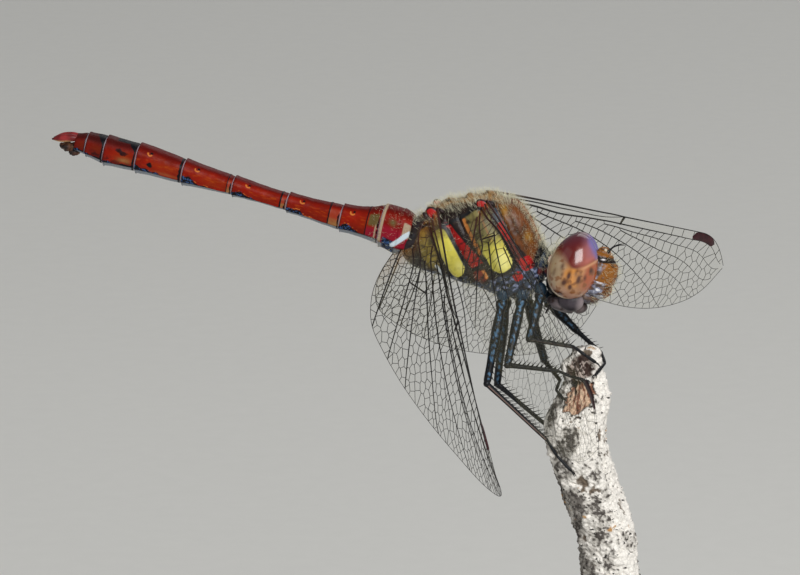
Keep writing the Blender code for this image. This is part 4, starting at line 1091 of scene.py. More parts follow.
class BuildHead(bpy.types.Operator):
    """Build the eyes, the face plates, the mouth, the back of the head and the antennae"""

    bl_idname = "object.dragonfly_head"
    bl_label = "Head"

    def execute(self, context):
        colours = context.scene.dragonfly_colours
        # Compound eye, polished cornea over pigment: a wet gloss, dark above and spotted tan below, with a
        # painted lilac and violet reflection on the upper front.
        # Real facets, 0.03 mm across, are too fine to show, so a faint grain of 0.07 mm stands for them.
        cornea = chitin(
            "compound eye, polished cornea", tinted(colours.eye_low), tinted(colours.eye_low, 0.75),
            [
                ("grey", "#A48E70", 1), ("orange", "#CC8840", 1), ("brick", "#A4522E", 1),
                ("rosy", "#B08674", 1), ("blotch", "#804C22", 1), ("top", tinted(colours.eye_top), 0.9),
                ("pink", "#B4685A", 1), ("plum", "#4E1A28", 1), ("lilac", "#86607C", 1),
                ("violet", "#7474BA", 1), ("glow", "#C8906A", 1), ("spots", "#4C2410", 1),
                ("rim", "#D8C2A6", 0.6),
            ],
            rough_range=(0.14, 0.22), grain=0.07, relief=0.0015, Coat_Weight=0.5, Coat_Roughness=0.1,
            Specular_IOR_Level=0.4,
        )
        make_pair("eye_dome", eye_skin(), cornea, "eye", head_turned)
        # Tan chitin, satin grown cuticle: the face plates, orange where they bulge and black in the folds,
        # with painted reflections in steel grey and white on their sides, a painted glint on the frons and a
        # painted shadow beside each eye.
        tan = chitin(
            "tan chitin, satin grown cuticle", "#7C685E", "#56443C",
            [
                ("orange", "#8C5618", 0.8), ("steel", "#82869A", 0.8), ("pale", "#DCDCE0", 0.8),
                ("grain", "#523014", 0.7), ("black", "#1C100A", 0.8), ("glint", "#E8E4E4", 0.6),
            ],
            rough_range=(0.34, 0.5), relief=0.015, Coat_Weight=0.12, Coat_Roughness=0.2,
        )
        for name, shape, node in face_parts():
            make_piece(name, head_turned(shape), tan, [node])
        # Slate chitin, dull grown cuticle: the jaws and lower lip, greyer than the face above them.
        slate = chitin(
            "slate chitin, dull grown cuticle", "#433C42", "#262226",
            [("pale", "#84787A", 1), ("dark", "#34221A", 1)], relief=0.01,
        )
        jaw = ball(*MANDIBLE, rows=40, columns=56)
        jaw = with_fields(jaw, pale=step(0.3, 0.9, jaw[2]["nx"]))
        make_pair("jaw", jaw, slate, "mandible", head_turned)
        make_piece("lower_lip", head_turned(lower_lip()), slate, ["labium"])
        # Black chitin, satin grown cuticle: the back of the head, with a tan mark behind each eye.
        black = chitin(
            "black chitin, satin grown cuticle", "#141214", "#0A090A",
            [("mark", "#B9784A", 0.6), ("rust", "#5A2A26", 1), ("pale", "#D8C4B4", 0.6)],
            rough_range=(0.3, 0.5),
        )
        temple = ball(*TEMPLE, 28, 36)
        x, y, z = facing(temple[2])
        rim = step(0.5, 0.7, np.hypot(x, z)) * step(0.2, 0.5, y)
        temple = with_fields(temple, mark=1 - rim, pale=rim * (x + z < 0.6))
        occiput = join([skull_skin(), temple, mirrored(temple)])
        make_piece("occiput_shell", head_turned(occiput), black, ["skull"])
        antenna = tube(ANTENNA_PATH, [0.08, 0.055, 0.035, 0.018], sides=12, turns=8, bulge=0.5)
        scape = ball(ANTENNA_PATH[0], (0.13, 0.13, 0.14), 16, 24)
        make_pair("feeler", join([antenna, scape]), black, "antenna", head_turned)
        # Clear amber cuticle, glassy: the three simple eyes between the great ones, each a bright bead.
        bead = chitin(
            "ocellus lens, glassy cuticle", "#C9B79A", "#8E6E4A", [], rough_range=(0.08, 0.1),
            Coat_Weight=0.8, Coat_Roughness=0.03,
        )
        places = ((9.55, 0, 1.42), (9.15, -0.52, 1.66), (9.15, 0.52, 1.66))
        beads = [ball(place, (0.13, 0.13, 0.13), 20, 28) for place in places]
        make_piece("ocelli", head_turned(join(beads)), bead)
        return {"FINISHED"}


# ---- wings ----


def wing_edges(kind, s):
    """Where the front and back edges are across the wing, in mm behind the front line of the root."""
    front = TIP_ROUND_DEPTH * np.maximum(0, (s - TIP_ROUND_START) / (1 - TIP_ROUND_START)) ** 2.2
    return front, smooth(WING_KINDS[kind][0], s)


def wing_surface(name, s, c, lift=0):
    """Points on a wing's middle surface, raised by lift in mm: bent along the span and twisted across it."""
    kind, side, *angles = WINGS[name]
    sweep, droop, bend, root_pitch, tip_pitch = np.radians(angles)
    size, hinge = WING_KINDS[kind][1:3]
    span = np.array([
        math.sin(sweep) * math.cos(droop), side * math.cos(sweep) * math.cos(droop), -math.sin(droop)
    ])
    chord = unit(np.array([-1, 0, 0]) + span[0] * span)
    up = np.cross(span, chord) * side
    s, c = np.broadcast_arrays(np.asarray(s, float), np.asarray(c, float))
    curl = bend / size
    turn = (curl * s * size)[..., None]
    middle = np.sin(turn) / curl * span - (1 - np.cos(turn)) / curl * up
    local_up = np.cos(turn) * up + np.sin(turn) * span
    pitch = (root_pitch + (tip_pitch - root_pitch) * s)[..., None]
    across = np.cos(pitch) * chord + np.sin(pitch) * local_up
    face = np.cos(pitch) * local_up - np.sin(pitch) * chord
    front, back = wing_edges(kind, s)
    root = np.array([hinge[0], side * hinge[1], hinge[2]])
    depth = (front + (back - front) * c)[..., None]
    return root + middle + across * depth + face * np.asarray(lift)[..., None]


def pleat(kind, s, c, height):
    """The wing's corrugation: each long vein runs along a ridge or a valley."""
    front, back = wing_edges(kind, s)
    total = np.zeros(np.broadcast(s, c).shape)
    for index, points in enumerate(VEINS[kind].values()):
        low, high = points[0][0], points[-1][0]
        away = (c - smooth(points, s)) * (back - front)
        present = step(low - 0.02, low + 0.05, s) * fall(high - 0.06, high + 0.01, s)
        total += (-1) ** index * np.exp(-((away / 0.4) ** 2)) * present
    return height * total * clamp(1.1 - c)


def vein_lines(kind):
    """Every long vein and edge as a line of (span share, chord share) points, root first."""
    lines = {}
    for name, points in VEINS[kind].items():
        s = np.linspace(points[0][0], points[-1][0], 70)
        lines[name] = np.stack([s, smooth(points, s)], axis=1)
    s = 1 - (1 - np.linspace(0, 1, 120)) ** 1.6
    lines["costa"] = np.stack([s, 0 * s], axis=1)
    lines["hind_edge"] = np.stack([s, 0 * s + 1], axis=1)
    return lines


def flatten(kind, s, c):
    """Span and chord shares as flat millimetres."""
    front, back = wing_edges(kind, s)
    return np.stack([s * WING_KINDS[kind][1], front + (back - front) * c], axis=-1)


def cell_seeds(kind, cell):
    """Middles of the wing cells: single rows of long cells near the front edge, honeycomb behind."""
    size = WING_KINDS[kind][1]
    rng = np.random.default_rng(7)
    seeds = {}
    for x in np.arange(0.25, size - 0.1, cell * 0.2):
        s = x / size
        front, back = wing_edges(kind, s)
        present = sorted(
            (float(smooth(points, s)), name) for name, points in VEINS[kind].items()
            if points[0][0] <= s <= points[-1][0]
        )
        levels = [(0, "costa"), *present, (1, "hind_edge")]
        for (low, low_name), (high, high_name) in zip(levels, levels[1:]):
            gap = (high - low) * (back - front)
            if gap < 0.1:
                continue
            depth = (low + high) / 2
            width = cell * (1.3 - 0.6 * depth) * (1 - 0.15 * s)
            rows = max(1, round(gap / (width * 0.85)))
            pitch = gap / rows
            reach = (1.25 if depth < 0.12 else 0.62 + 0.25 * pitch) if rows == 1 else width
            field = seeds.setdefault((low_name, high_name), [])
            for k in range(rows):
                share = low + (high - low) * (k + 0.5) / rows
                y = front + (back - front) * share + rng.uniform(-0.07, 0.07) * pitch * (rows > 1)
                if all(math.hypot((x - px) / reach, (y - py) / (1.2 * pitch)) >= 1 for px, py in field):
                    field.append((x, y))
    return np.array([seed for field in seeds.values() for seed in field])


def crossings(starts, ends, line_starts, line_ends):
    """For each segment, the first line piece that it crosses, or -1."""
    def side_of(a, b, p):
        along, away = b - a, p - a
        return along[..., 0] * away[..., 1] - along[..., 1] * away[..., 0]

    p, q = starts[:, None], ends[:, None]
    a, b = line_starts[None], line_ends[None]
    hit = (side_of(a, b, p) * side_of(a, b, q) < 0) & (side_of(p, q, a) * side_of(p, q, b) < 0)
    return np.where(hit.any(axis=1), hit.argmax(axis=1), -1)


def nearest_on(points, line_starts, line_ends):
    """Each point moved to the nearest place on any of the line pieces."""
    a, along = line_starts[None], (line_ends - line_starts)[None]
    share = ((points[:, None] - a) * along).sum(axis=-1) / np.maximum((along**2).sum(axis=-1), 1e-12)
    spots = a + along * clamp(share)[..., None]
    best = np.linalg.norm(points[:, None] - spots, axis=-1).argmin(axis=1)
    return spots[np.arange(len(points)), best]


def circle_centres(a, b, c):
    """The point that lies equally far from the three corners of each flat triangle."""
    spans = (b - c, c - a, a - b)
    squares = [(corner**2).sum(axis=1) for corner in (a, b, c)]
    double = 2 * (a[:, 0] * spans[0][:, 1] + b[:, 0] * spans[1][:, 1] + c[:, 0] * spans[2][:, 1])
    x = sum(square * span[:, 1] for square, span in zip(squares, spans)) / double
    y = sum(square * -span[:, 0] for square, span in zip(squares, spans)) / double
    return np.stack([x, y], axis=1)


def cell_veins(kind, cell):
    """The fine veins as pairs of flat points: cell borders that end exactly on the long veins."""
    lines = [flatten(kind, line[:, 0], line[:, 1]) for line in vein_lines(kind).values()]
    line_starts = np.concatenate([line[:-1] for line in lines])
    line_ends = np.concatenate([line[1:] for line in lines])
    seeds = cell_seeds(kind, cell)
    s = np.linspace(0, 1, 90)
    ghosts = np.concatenate([
        flatten(kind, s, 0 * s) - [0, 0.35], flatten(kind, s, 0 * s + 1) + [0, 0.35],
        np.stack([np.full(30, -0.3), np.linspace(-0.3, 4.5, 30)], axis=1),
        np.stack([np.full(6, WING_KINDS[kind][1] + 0.3), np.linspace(1.5, 2.9, 6)], axis=1),
    ])
    spots = np.concatenate([seeds, ghosts])
    flat_points = [Vector(spot) for spot in spots]
    triangles = np.array([list(face) for face in geometry.delaunay_2d_cdt(flat_points, [], [], 0, 1e-7)[2]])
    centres = circle_centres(*(spots[triangles[:, k]] for k in range(3)))
    edges = [triangles[:, ends] for ends in ([0, 1], [1, 2], [2, 0])]
    pairs = np.sort(np.concatenate(edges), axis=1)
    owner = np.tile(np.arange(len(triangles)), 3)
    crossed = crossings(spots[pairs[:, 0]], spots[pairs[:, 1]], line_starts, line_ends) >= 0
    on_vein = np.unique(owner[crossed])
    centres[on_vein] = nearest_on(centres[on_vein], line_starts, line_ends)
    seen, rod_starts, rod_ends = {}, [], []
    for (i, j), triangle, cut in zip(pairs, owner, crossed):
        if cut or i >= len(seeds) or j >= len(seeds):
            continue
        other = seen.setdefault((i, j), triangle)
        if other != triangle:
            rod_starts.append(centres[other])
            rod_ends.append(centres[triangle])
    rod_starts, rod_ends = np.array(rod_starts), np.array(rod_ends)
    size = np.linalg.norm(rod_ends - rod_starts, axis=1)
    kept = (size > 0.04) & (size < 2.6)
    return rod_starts[kept], rod_ends[kept]


def shares(kind, flat_points):
    """Flat millimetres back as span and chord shares."""
    s = np.clip(flat_points[:, 0] / WING_KINDS[kind][1], 0, 0.999)
    front, back = wing_edges(kind, s)
    return s, clamp((flat_points[:, 1] - front) / (back - front))


class BuildWings(bpy.types.Operator):
    """Build four wings, each of a clear pleated membrane, its net of veins and a dark spot near the tip"""

    bl_idname = "object.dragonfly_wings"
    bl_label = "Wings"

    def execute(self, context):
        sizes = context.scene.dragonfly_sizes
        clear = self.membrane_material()
        # Dark chitin, drawn hollow rods: the veins, black with a brown cast where they are thick.
        vein = chitin(
            "vein chitin, drawn rod", "#17110D", "#0C0908",
            [("root", "#3A1512", 1)], rough_range=(0.4, 0.55), grain=0.2, Specular_IOR_Level=0.3,
        )
        # Pigmented chitin, thickened pad: the wing spot, an opaque purple brown.
        spot = chitin("pigmented chitin, thickened pad", "#3E161C", "#260C12", [])
        nets = {kind: cell_veins(kind, sizes.cell / MM) for kind in WING_KINDS}
        for name, (kind, *_) in WINGS.items():
            height = sizes.pleat / MM
            film = self.membrane(name, kind, height)
            make_piece(f"{name}_membrane", film, clear, [name], sheet=True)
            net = self.net(name, kind, nets[kind], height, sizes)
            make_piece(f"{name}_veins", net, vein)
            make_piece(f"{name}_spot", self.spot(name, kind, height), spot)
        return {"FINISHED"}

    def membrane_material(self):
        """Wing membrane, dried clear chitin: nearly unseen, with a faint smoky tint, amber at the root."""
        material, tree, place = start_material("wing membrane, dried clear chitin")
        amber = add_node(tree, "Attribute", attribute_name="amber").outputs["Fac"]
        ripples = {"Vector": place, "Scale": 1 / (0.9 * MM), "Detail": 2}
        ripple = add_node(tree, "TexNoise", ripples).outputs["Fac"]
        tint = add_node(tree, "Mix", {0: amber, 6: "#A9A580", 7: "#B87818"}, data_type="RGBA").outputs[2]
        alpha = add_node(tree, "MapRange", {"Value": amber, "To Min": 0.09, "To Max": 0.34}).outputs[0]
        finish_material(
            tree, ripple, 0.03, Base_Color=tint, Roughness=0.16, IOR=1.56, Alpha=alpha, Coat_Weight=0.5,
            Coat_Roughness=0.08,
        )
        return material

    def membrane(self, name, kind, height):
        """The pleated film from edge to edge."""
        s = (1 - (1 - np.linspace(0, 1, 260)) ** 1.25)[:, None]
        c = np.linspace(0, 1, 96)[None, :]
        grid = wing_surface(name, s, c, pleat(kind, s, c, height))
        reach = 0.06 if kind == "fore" else 0.1
        amber = fall(0.2 * reach, reach, s) * (1 - 0.6 * step(0.5, 1, c))
        amber = np.maximum(amber, 0.5 * fall(0.3, 0.9, s / reach / 2.5) * fall(0.05, 0.2, c))
        return grid.reshape(-1, 3), [lattice(*grid.shape[:2], closed=False)], {"amber": amber.ravel()}

    def net(self, name, kind, flat_net, height, sizes):
        """Long veins as tapered tubes and cell borders as fine rods, all lying in the pleats."""
        long_vein, fine_vein = sizes.long_vein / MM, sizes.vein / MM
        finer = FINER_NET.get(name, 0)
        thickness = {"costa": 1.05, "radius": 1.1, "subcosta": 0.75, "hind_edge": 0.32}
        shapes = []
        for vein, line in vein_lines(kind).items():
            s, c = line.T
            path = wing_surface(name, s, c, pleat(kind, s, c, height))
            if s[0] < 0.01:
                path = np.concatenate([path[:1] * 1.02 - path[2:3] * 0.02, path])
                s = np.concatenate([s[:1], s])
            taper = 1 - 0.62 * s**0.8 - 0.2 * np.linspace(0, 1, len(s)) ** 3
            radius = long_vein / 2 * thickness.get(vein, 0.8) * taper * (1 - finer * step(0.18, 0.4, s))
            shapes.append(tube(path, np.maximum(radius, fine_vein * 0.4 * (1 - finer)), sides=8, bulge=0.5))
        ends = []
        for flat_points in flat_net:
            s, c = shares(kind, flat_points)
            ends.append((wing_surface(name, s, c, pleat(kind, s, c, height)), s, c))
        (starts, s, c), (stops, _, _) = ends
        radius = fine_vein / 2 * (1.25 - 0.35 * s - 0.3 * c) * (1 - finer * step(0.12, 0.3, s))
        shapes.append(rods(starts, stops, radius, radius, sides=5))
        # the nodus, a stout notch in the front edge, and the bar that closes the triangle
        nodus = WING_KINDS[kind][3]
        joint = wing_surface(name, np.full(2, nodus), np.array([0, 0.1]), np.zeros(2))
        shapes.append(rods(joint[:1], joint[1:], 0.09, 0.06, sides=6))
        s, c = np.array(CROSS_VEINS[kind]).T
        bar = wing_surface(name, s, c, pleat(kind, s, c, height))
        shapes.append(rods(bar[:1], bar[1:], 0.055, 0.055, sides=8))
        root = wing_surface(name, np.zeros(1), np.zeros(1))[0]
        return join([
            (points, faces, {"root": fall(1, 5, np.linalg.norm(points - root, axis=1))})
            for points, faces, _ in shapes
        ])

    def spot(self, name, kind, height):
        """The thickened cell between the front edge and the radius near the tip."""
        s = np.linspace(*STIGMA_SPAN, 40)[:, None]
        around = circle(24)[None, :]
        front, back = wing_edges(kind, s)
        slant = 0.004 * np.cos(around)
        end_round = np.sqrt(np.clip(1 - ((s - s.mean()) / (np.ptp(s) / 2 + 1e-4)) ** 8, 0.02, 1))
        deep = STIGMA_DEPTH / (back - front)
        c = deep * (0.52 - 0.5 * np.cos(around) * end_round)
        lift = 0.07 * np.sin(around) * end_round + pleat(kind, s, c, height)
        return sleeve(wing_surface(name, s + slant, c, lift))


# ---- legs ----


def bloom(shape):
    """The speckled blue sheen along the outer face of a thigh, a painted reflection."""
    outward = shape[2]["over"] * 0.3 + np.abs(shape[2]["side"]) * 0.95
    return step(0.72, 1, outward) * clamp(0.35 + 1.9 * rough(shape[0], 0.2, 61, 2))


def leg_skin(points):
    """One leg from hip to claws, as closed parts that overlap, with its stripe and sheen as fields."""
    hip, knee, ankle = (np.array(point) for point in points[:3])
    share = np.array([0, 0.06, 0.14, 0.2, 0.3, 0.55, 0.8, 0.94, 1])[:, None]
    femur = tube(hip + (knee - hip) * share, [0.3, 0.42, 0.3, 0.31, 0.36, 0.33, 0.27, 0.27, 0.2], 28, turns=9)
    femur = with_fields(femur, sheen=bloom(femur))
    coxa = with_fields(ball(hip + [0, 0, 0.3], (0.42, 0.4, 0.5), 28, 36), sheen=0.3)
    joint = ball(knee, (0.24, 0.24, 0.24), 20, 28)
    share = np.array([0, 0.08, 0.3, 0.6, 0.92, 1])[:, None]
    tibia = tube(knee + (ankle - knee) * share, [0.2, 0.19, 0.16, 0.15, 0.14, 0.12], 16, turns=6)
    stripe = 0.8 * step(0.94, 1, np.abs(tibia[2]["side"])) * step(0.04, 0.1, tibia[2]["along"])
    tibia = with_fields(tibia, stripe=stripe * fall(0.9, 0.97, tibia[2]["along"]))
    toes = []
    foot = [ankle, *(np.array(point) for point in points[3:])]
    for start, end in zip(foot, foot[1:]):
        end = start + (end - start) * 0.97
        path = start + (end - start) * np.array([0, 0.2, 0.75, 1])[:, None]
        toes.append(tube(path, [0.09, 0.1, 0.12, 0.09], 14, turns=4, bulge=0.4))
    tip, along = foot[-1], unit(foot[-1] - foot[-2])
    for turn in (-1, 1):
        side = unit(np.cross(along, np.array([0, 0, 1]))) * turn
        claw = [tip, tip + along * 0.22 + side * 0.12, tip + along * 0.36 + side * 0.17 - [0, 0, 0.12]]
        toes.append(tube(claw, [0.06, 0.05, 0.012], 8, turns=4))
    return join([femur, coxa, joint, tibia, *toes])


def leg_spines(points, size):
    """Rows of spines along the inner edges of the thigh and shin."""
    hip, knee, ankle = (np.array(point) for point in points[:3])
    roots, tips = [], []
    for start, end, radius, long, first, gap in (
        (hip, knee, 0.3, 0.75, 0.3, 0.4), (knee, ankle, 0.15, 1.25, 0.08, 0.33)
    ):
        along = unit(end - start)
        inner = unit((hip + ankle) / 2 - knee)
        inner = unit(inner - (inner @ along) * along)
        across = np.cross(along, inner)
        total = np.linalg.norm(end - start)
        for distance in np.arange(total * first, total * 0.97, gap):
            for turn in (-1, 1):
                out = unit(inner + 0.75 * turn * across)
                root = start + along * (distance + 0.1 * turn) + out * radius * 0.85
                roots.append(root)
                varied = 0.85 + 0.3 * math.sin(distance * 5) ** 2
                tips.append(root + unit(out + 0.7 * along) * size * long * varied)
    count = len(roots)
    return bristles(roots, tips, np.full(count, 0.042), np.zeros((count, 3)))


class BuildLegs(bpy.types.Operator):
    """Build the six spined legs"""

    bl_idname = "object.dragonfly_legs"
    bl_label = "Legs"

    def execute(self, context):
        colours = context.scene.dragonfly_colours
        # Black chitin, waxy grown cuticle: near black, with a painted blue-grey sheen, a painted reflection,
        # on the thighs and fainter on the hips.
        black = chitin(
            "black chitin, waxy grown cuticle", tinted(colours.leg), tinted(colours.leg, 0.5),
            [("sheen", "#466E8E", 0.7), ("stripe", "#8A7066", 0.6)], grain=0.1, relief=0.012,
        )
        size = context.scene.dragonfly_sizes.spine / MM
        for name, points in LEGS.items():
            nodes = [f"{part}_{name}" for part in ("coxa", "femur", "tibia", "tarsus")]
            make_piece(f"leg_{name}", leg_skin(points), black, nodes, in_body=False)
            make_piece(f"spines_{name}", leg_spines(points, size), black, in_body=False)
        return {"FINISHED"}


# ---- hair ----

WAIST_ROWS = 45                         # the abdomen's first rows of skin, which carry hair


def hair_coat(grid, count, size, share_kept, seed, lay, radius):
    """Pale hairs over a skin's rings, with each hair's place on the unwrapped rings for its map."""
    rng = np.random.default_rng(seed)
    normals = grid_normals(grid)
    rows, columns = grid.shape[:2]
    row, column = rng.uniform(1, rows - 2, count), rng.uniform(0, columns, count)
    i, j = row.astype(int), column.astype(int) % columns
    roots, out = grid[i, j], normals[i, j]
    jitter = grid[np.minimum(i + 1, rows - 1), (j + 1) % columns] - roots
    roots = roots + jitter * rng.uniform(0, 1, (count, 1))
    kept = rng.uniform(0, 1, count) < share_kept(roots, out)
    roots, out = roots[kept] - out[kept] * 0.03, out[kept]
    u, v = row[kept] / rows, column[kept] / columns
    total = len(roots)
    long = size * rng.uniform(0.55, 1.15, total)[:, None]
    way = unit(out + np.array(lay) + rng.normal(0, 0.28, (total, 3)))
    sag = np.array(lay) * long * 0.25
    shape = bristles(roots, roots + way * long, radius * rng.uniform(0.7, 1.2, total), sag)
    corners = np.array([(0, 0), (1, 0), (0, 1), (0, 0.5), (1, 0.5), (0.5, 1), (0.5, 1)]) - 0.5
    patch = np.tile(corners, (total, 1))
    uv = np.repeat(np.stack([u, v], axis=1) * 0.99 + 0.005, BRISTLE_POINTS, axis=0) + patch * 0.003
    return shape, uv


class BuildCoat(bpy.types.Operator):
    """Build the pale hair of the thorax, the head and the base of the abdomen"""

    bl_idname = "object.dragonfly_coat"
    bl_label = "Hair"

    def execute(self, context):
        colours = context.scene.dragonfly_colours
        size = context.scene.dragonfly_sizes.hair / MM
        # Insect hair, fine grown bristle: cream and slightly shiny.
        cream = chitin(
            "cream bristle, fine grown hair", tinted(colours.hair), tinted(colours.hair, 0.8), [],
            rough_range=(0.45, 0.6), grain=0.3,
        )
        thorax = skin_grid(thorax_skin(), THORAX_GRID[1])
        waist = skin_grid(abdomen_skin(), ABDOMEN_COLUMNS)[:WAIST_ROWS]
        head_parts = {"frons": FRONS, "clypeus": CLYPEUS, "labrum": LABRUM, "nape": SKULL}
        grids = {"thorax_back": thorax, "thorax_belly": thorax, "abdomen_base": waist}
        for name, part in head_parts.items():
            grids[name] = skin_grid(ball(*part, rows=64, columns=96), 96)

        # the share of hairs that stay, from where each is rooted and which way it stands
        def on_back(roots, out):
            crest = step(0.4, 0.85, out[:, 2]) + 0.8 * step(0.35, 0.8, out[:, 0]) * step(-2, 0.5, roots[:, 2])
            return clamp(crest + 0.02)

        def below(roots, out):
            return step(-0.3, -0.9, out[:, 2]) * 0.5 + 0.05

        def on_front(roots, out):
            return step(0.1, 0.6, out[:, 0]) * 0.9

        def on_nape(roots, out):
            return step(0, -0.4, out[:, 0]) * step(-0.1, 0.3, out[:, 2])

        def everywhere(roots, out):
            return 0.6

        # lay is the way that the tips bend, and long is a share of the hair size
        forward = (0.3, 0, -0.1)
        for name, slot, count, long, kept, seed, lay, radius in (
            ("thorax_back", "brown_shell", 16000, 1, on_back, 11, (-0.3, 0, 0.15), 0.0085),
            ("thorax_belly", "brown_shell", 4000, 0.7, below, 12, (-0.2, 0, -0.2), 0.009),
            ("frons", "face", 760, 0.8, on_front, 13, forward, 0.012),
            ("clypeus", "face", 520, 0.8, on_front, 14, forward, 0.012),
            ("labrum", "face", 360, 0.7, on_front, 15, forward, 0.012),
            ("nape", "brown_shell", 3000, 1.25, on_nape, 17, (-0.2, 0, 0.8), 0.01),
            ("abdomen_base", "red_shell", 900, 0.4, everywhere, 16, (-0.6, 0, 0.1), 0.007),
        ):
            shape, uv = hair_coat(grids[name], count, size * long, kept, seed, lay, radius)
            if name in head_parts:
                shape = head_turned(shape)
            make_piece(f"coat_{name}", shape, cream, uv=uv)
        return {"FINISHED"}


# ---- twig and stand ----


class BuildPerch(bpy.types.Operator):
    """Build the short cut twig that the dragonfly grips"""

    bl_idname = "object.dragonfly_perch"
    bl_label = "Twig"

    def execute(self, context):
        crust_height = context.scene.dragonfly_sizes.crust / MM
        bark = self.bark_material(context)
        make_piece("twig", self.twig(crust_height), bark, ["perch_twig"], in_body=False)
        return {"FINISHED"}

    def twig(self, crust_height):
        """Rings down the leaning twig, roughened by lumps, cracks and a crust that a worn patch lacks."""
        rows, columns = 420, 180
        share = np.linspace(0, 1, rows)
        angle = circle(columns)[None, :]
        top, foot = np.array(TWIG_TOP), np.array(TWIG_FOOT)
        centre = top + (foot - top) * share[:, None]
        centre[:, 0] += smooth(TWIG_SWAY, share)
        radius = smooth(TWIG_RADIUS, share)[:, None]
        down = share[:, None]
        lump = 1 + 0.05 * np.sin(3 * angle + 17 * down) + 0.04 * np.sin(5 * angle - 31 * down)
        cap = np.sqrt(np.clip(down / 0.016, 0.02, 1))
        spread = radius * lump * cap
        ring = np.stack([np.cos(angle) * spread, np.sin(angle) * spread, 0 * spread], axis=-1)
        grid = ring + centre[:, None]
        smooth_grid = grid
        squeezed = grid * [1, 1, 0.6]
        lumps, knobs, grit = rough(squeezed, 1.5, 1), rough(grid, 0.55, 2), rough(grid, 0.22, 3, 4)
        cracks = rough(grid * [1, 1, 0.22], 0.5, 5)
        front = (angle + math.pi / 2 + math.pi) % (2 * math.pi) - math.pi
        hollow_out = np.hypot((down - 0.052) / 0.042, (front + 0.25) / 1) + 0.4 * knobs
        hollow = fall(0.75, 1, hollow_out)
        bare_out = np.hypot((down - 0.128) / 0.052, (front + 0.16) / 0.62) + 0.45 * knobs
        bare = fall(0.8, 1, bare_out) * (1 - hollow)
        gap = fall(0.02, 0.12, np.abs(front + 0.5 - 3 * (down - 0.1)) + 0.1 * knobs)
        gap = gap * step(0.075, 0.09, down) * fall(0.12, 0.135, down)
        crust = step(-0.45, -0.1, lumps + 0.6 * knobs + 0.35) * (1 - np.maximum(bare, hollow))
        lift = 0.14 * lumps + crust_height * (0.6 * crust * (0.7 + 0.8 * knobs) + 0.6 * grit)
        lift = lift - 0.07 * step(0.25, 0.6, cracks) - 0.3 * hollow - 0.1 * bare - 0.25 * gap
        grid = grid + grid_normals(grid) * (lift * step(0, 0.02, down + 0.004))[..., None]
        lower_left = step(0.2, 0.45, down) * step(-0.2, 0.9, -np.cos(angle))
        # grey and darker patches grow towards the foot of the twig and its -X side
        greyness = rough(squeezed, 1.1, 7, 4) + 0.3 * lower_left - 0.25 * np.cos(angle)
        fibres = rough(smooth_grid * [1, 1, 0.2], 0.2, 9)
        ash = rough(smooth_grid, 0.34, 11, 4)
        specks = step(0.56, 0.7, rough(smooth_grid, 0.25, 6, 4) + 0.16 * lower_left)
        fields = {
            "crust": crust,
            "grey": step(0.05, 0.4, greyness) * (0.75 + 0.7 * grit),
            "smut": step(0.38, 0.62, greyness + 0.8 * grit) * 0.9,
            "bare": bare,
            "grain_line": bare * step(-0.1, 0.3, fibres + 0.5 * step(0, 0.5, front)),
            "warm": step(0.5, 0.7, rough(smooth_grid, 1.3, 8)) * step(0.2, 0.5, knobs),
            "hollow": hollow,
            "glint": hollow * step(0.05, 0.3, knobs + 0.6 * grit),
            "black": clamp(specks + gap + 0.8 * bump(bare_out, 0.93, 0.12)),
            "ash": step(0, 0.35, ash + 0.25 * lower_left) * (0.2 + 0.4 * lower_left),
        }
        return sleeve(grid, fields)

    def bark_material(self, context):
        """Bark crusted with lichen, weathered and flaking: chalk white plates, grey cracks, black specks."""
        material, tree, place = start_material("bark crusted with lichen, weathered")
        fine_settings = {"Vector": place, "Scale": 1 / (0.1 * MM), "Detail": 5, "Roughness": 0.7}
        fine = add_node(tree, "TexNoise", fine_settings).outputs["Fac"]
        flakes = {"Vector": place, "Scale": 1 / (0.35 * MM), "Randomness": 1}
        edge = add_node(tree, "TexVoronoi", flakes, feature="DISTANCE_TO_EDGE").outputs["Distance"]
        crack = add_node(tree, "MapRange", {"Value": edge, "From Max": 0.12, "To Min": 1, "To Max": 0})
        lichen = tinted(context.scene.dragonfly_colours.lichen)
        layers = [
            ("crust", lichen, 0.6, 0.3), ("grey", "#9C978F", 0.9, 0.35), ("smut", "#4A4440", 0.8, 0.35),
            ("ash", "#A8A29A", 0.9, 0.35), ("bare", "#D2B296", 0.6, 0.3),
            ("grain_line", "#7A4630", 0.9, 0.3), ("warm", "#B98A50", 0.8, 0.2),
            ("hollow", "#3C2A24", 0.5, 0.3), ("glint", "#C4B4AA", 0.8, 0.3),
            ("black", "#1E1917", 0.5, 0.3),
        ]
        ground = {0: fine, 6: "#4E4238", 7: "#8A7A68"}
        mixed = add_node(tree, "Mix", ground, data_type="RGBA").outputs[2]
        mixed = lay_colours(tree, mixed, fine, layers)
        dimmed = add_node(tree, "Math", {0: crack.outputs[0], 1: 0.25}, operation="MULTIPLY").outputs[0]
        mixed = add_node(tree, "Mix", {0: dimmed, 6: mixed, 7: "#6E675E"}, data_type="RGBA").outputs[2]
        rise = add_node(tree, "Math", {0: fine, 1: edge}, operation="ADD").outputs[0]
        finish_material(tree, rise, 0.04, Base_Color=mixed, Roughness=0.88, IOR=1.45)
        return material


def turned(profile, centre, sides=96):
    """A round upright piece from (radius, height) points, listed from the bottom up."""
    angle = circle(sides)[None, :]
    radius, height = (np.array(values, float)[:, None] for values in zip(*profile))
    grid = np.stack([radius * np.cos(angle), radius * np.sin(angle), height + 0 * angle], axis=-1)
    return sleeve(grid + np.array(centre))


def arc(middle, reach, start, end, steps=8):
    """Points of a round corner, from one angle to another in degrees."""
    angles = np.radians(np.linspace(start, end, steps))
    return [(middle[0] + reach * math.cos(angle), middle[1] + reach * math.sin(angle)) for angle in angles]


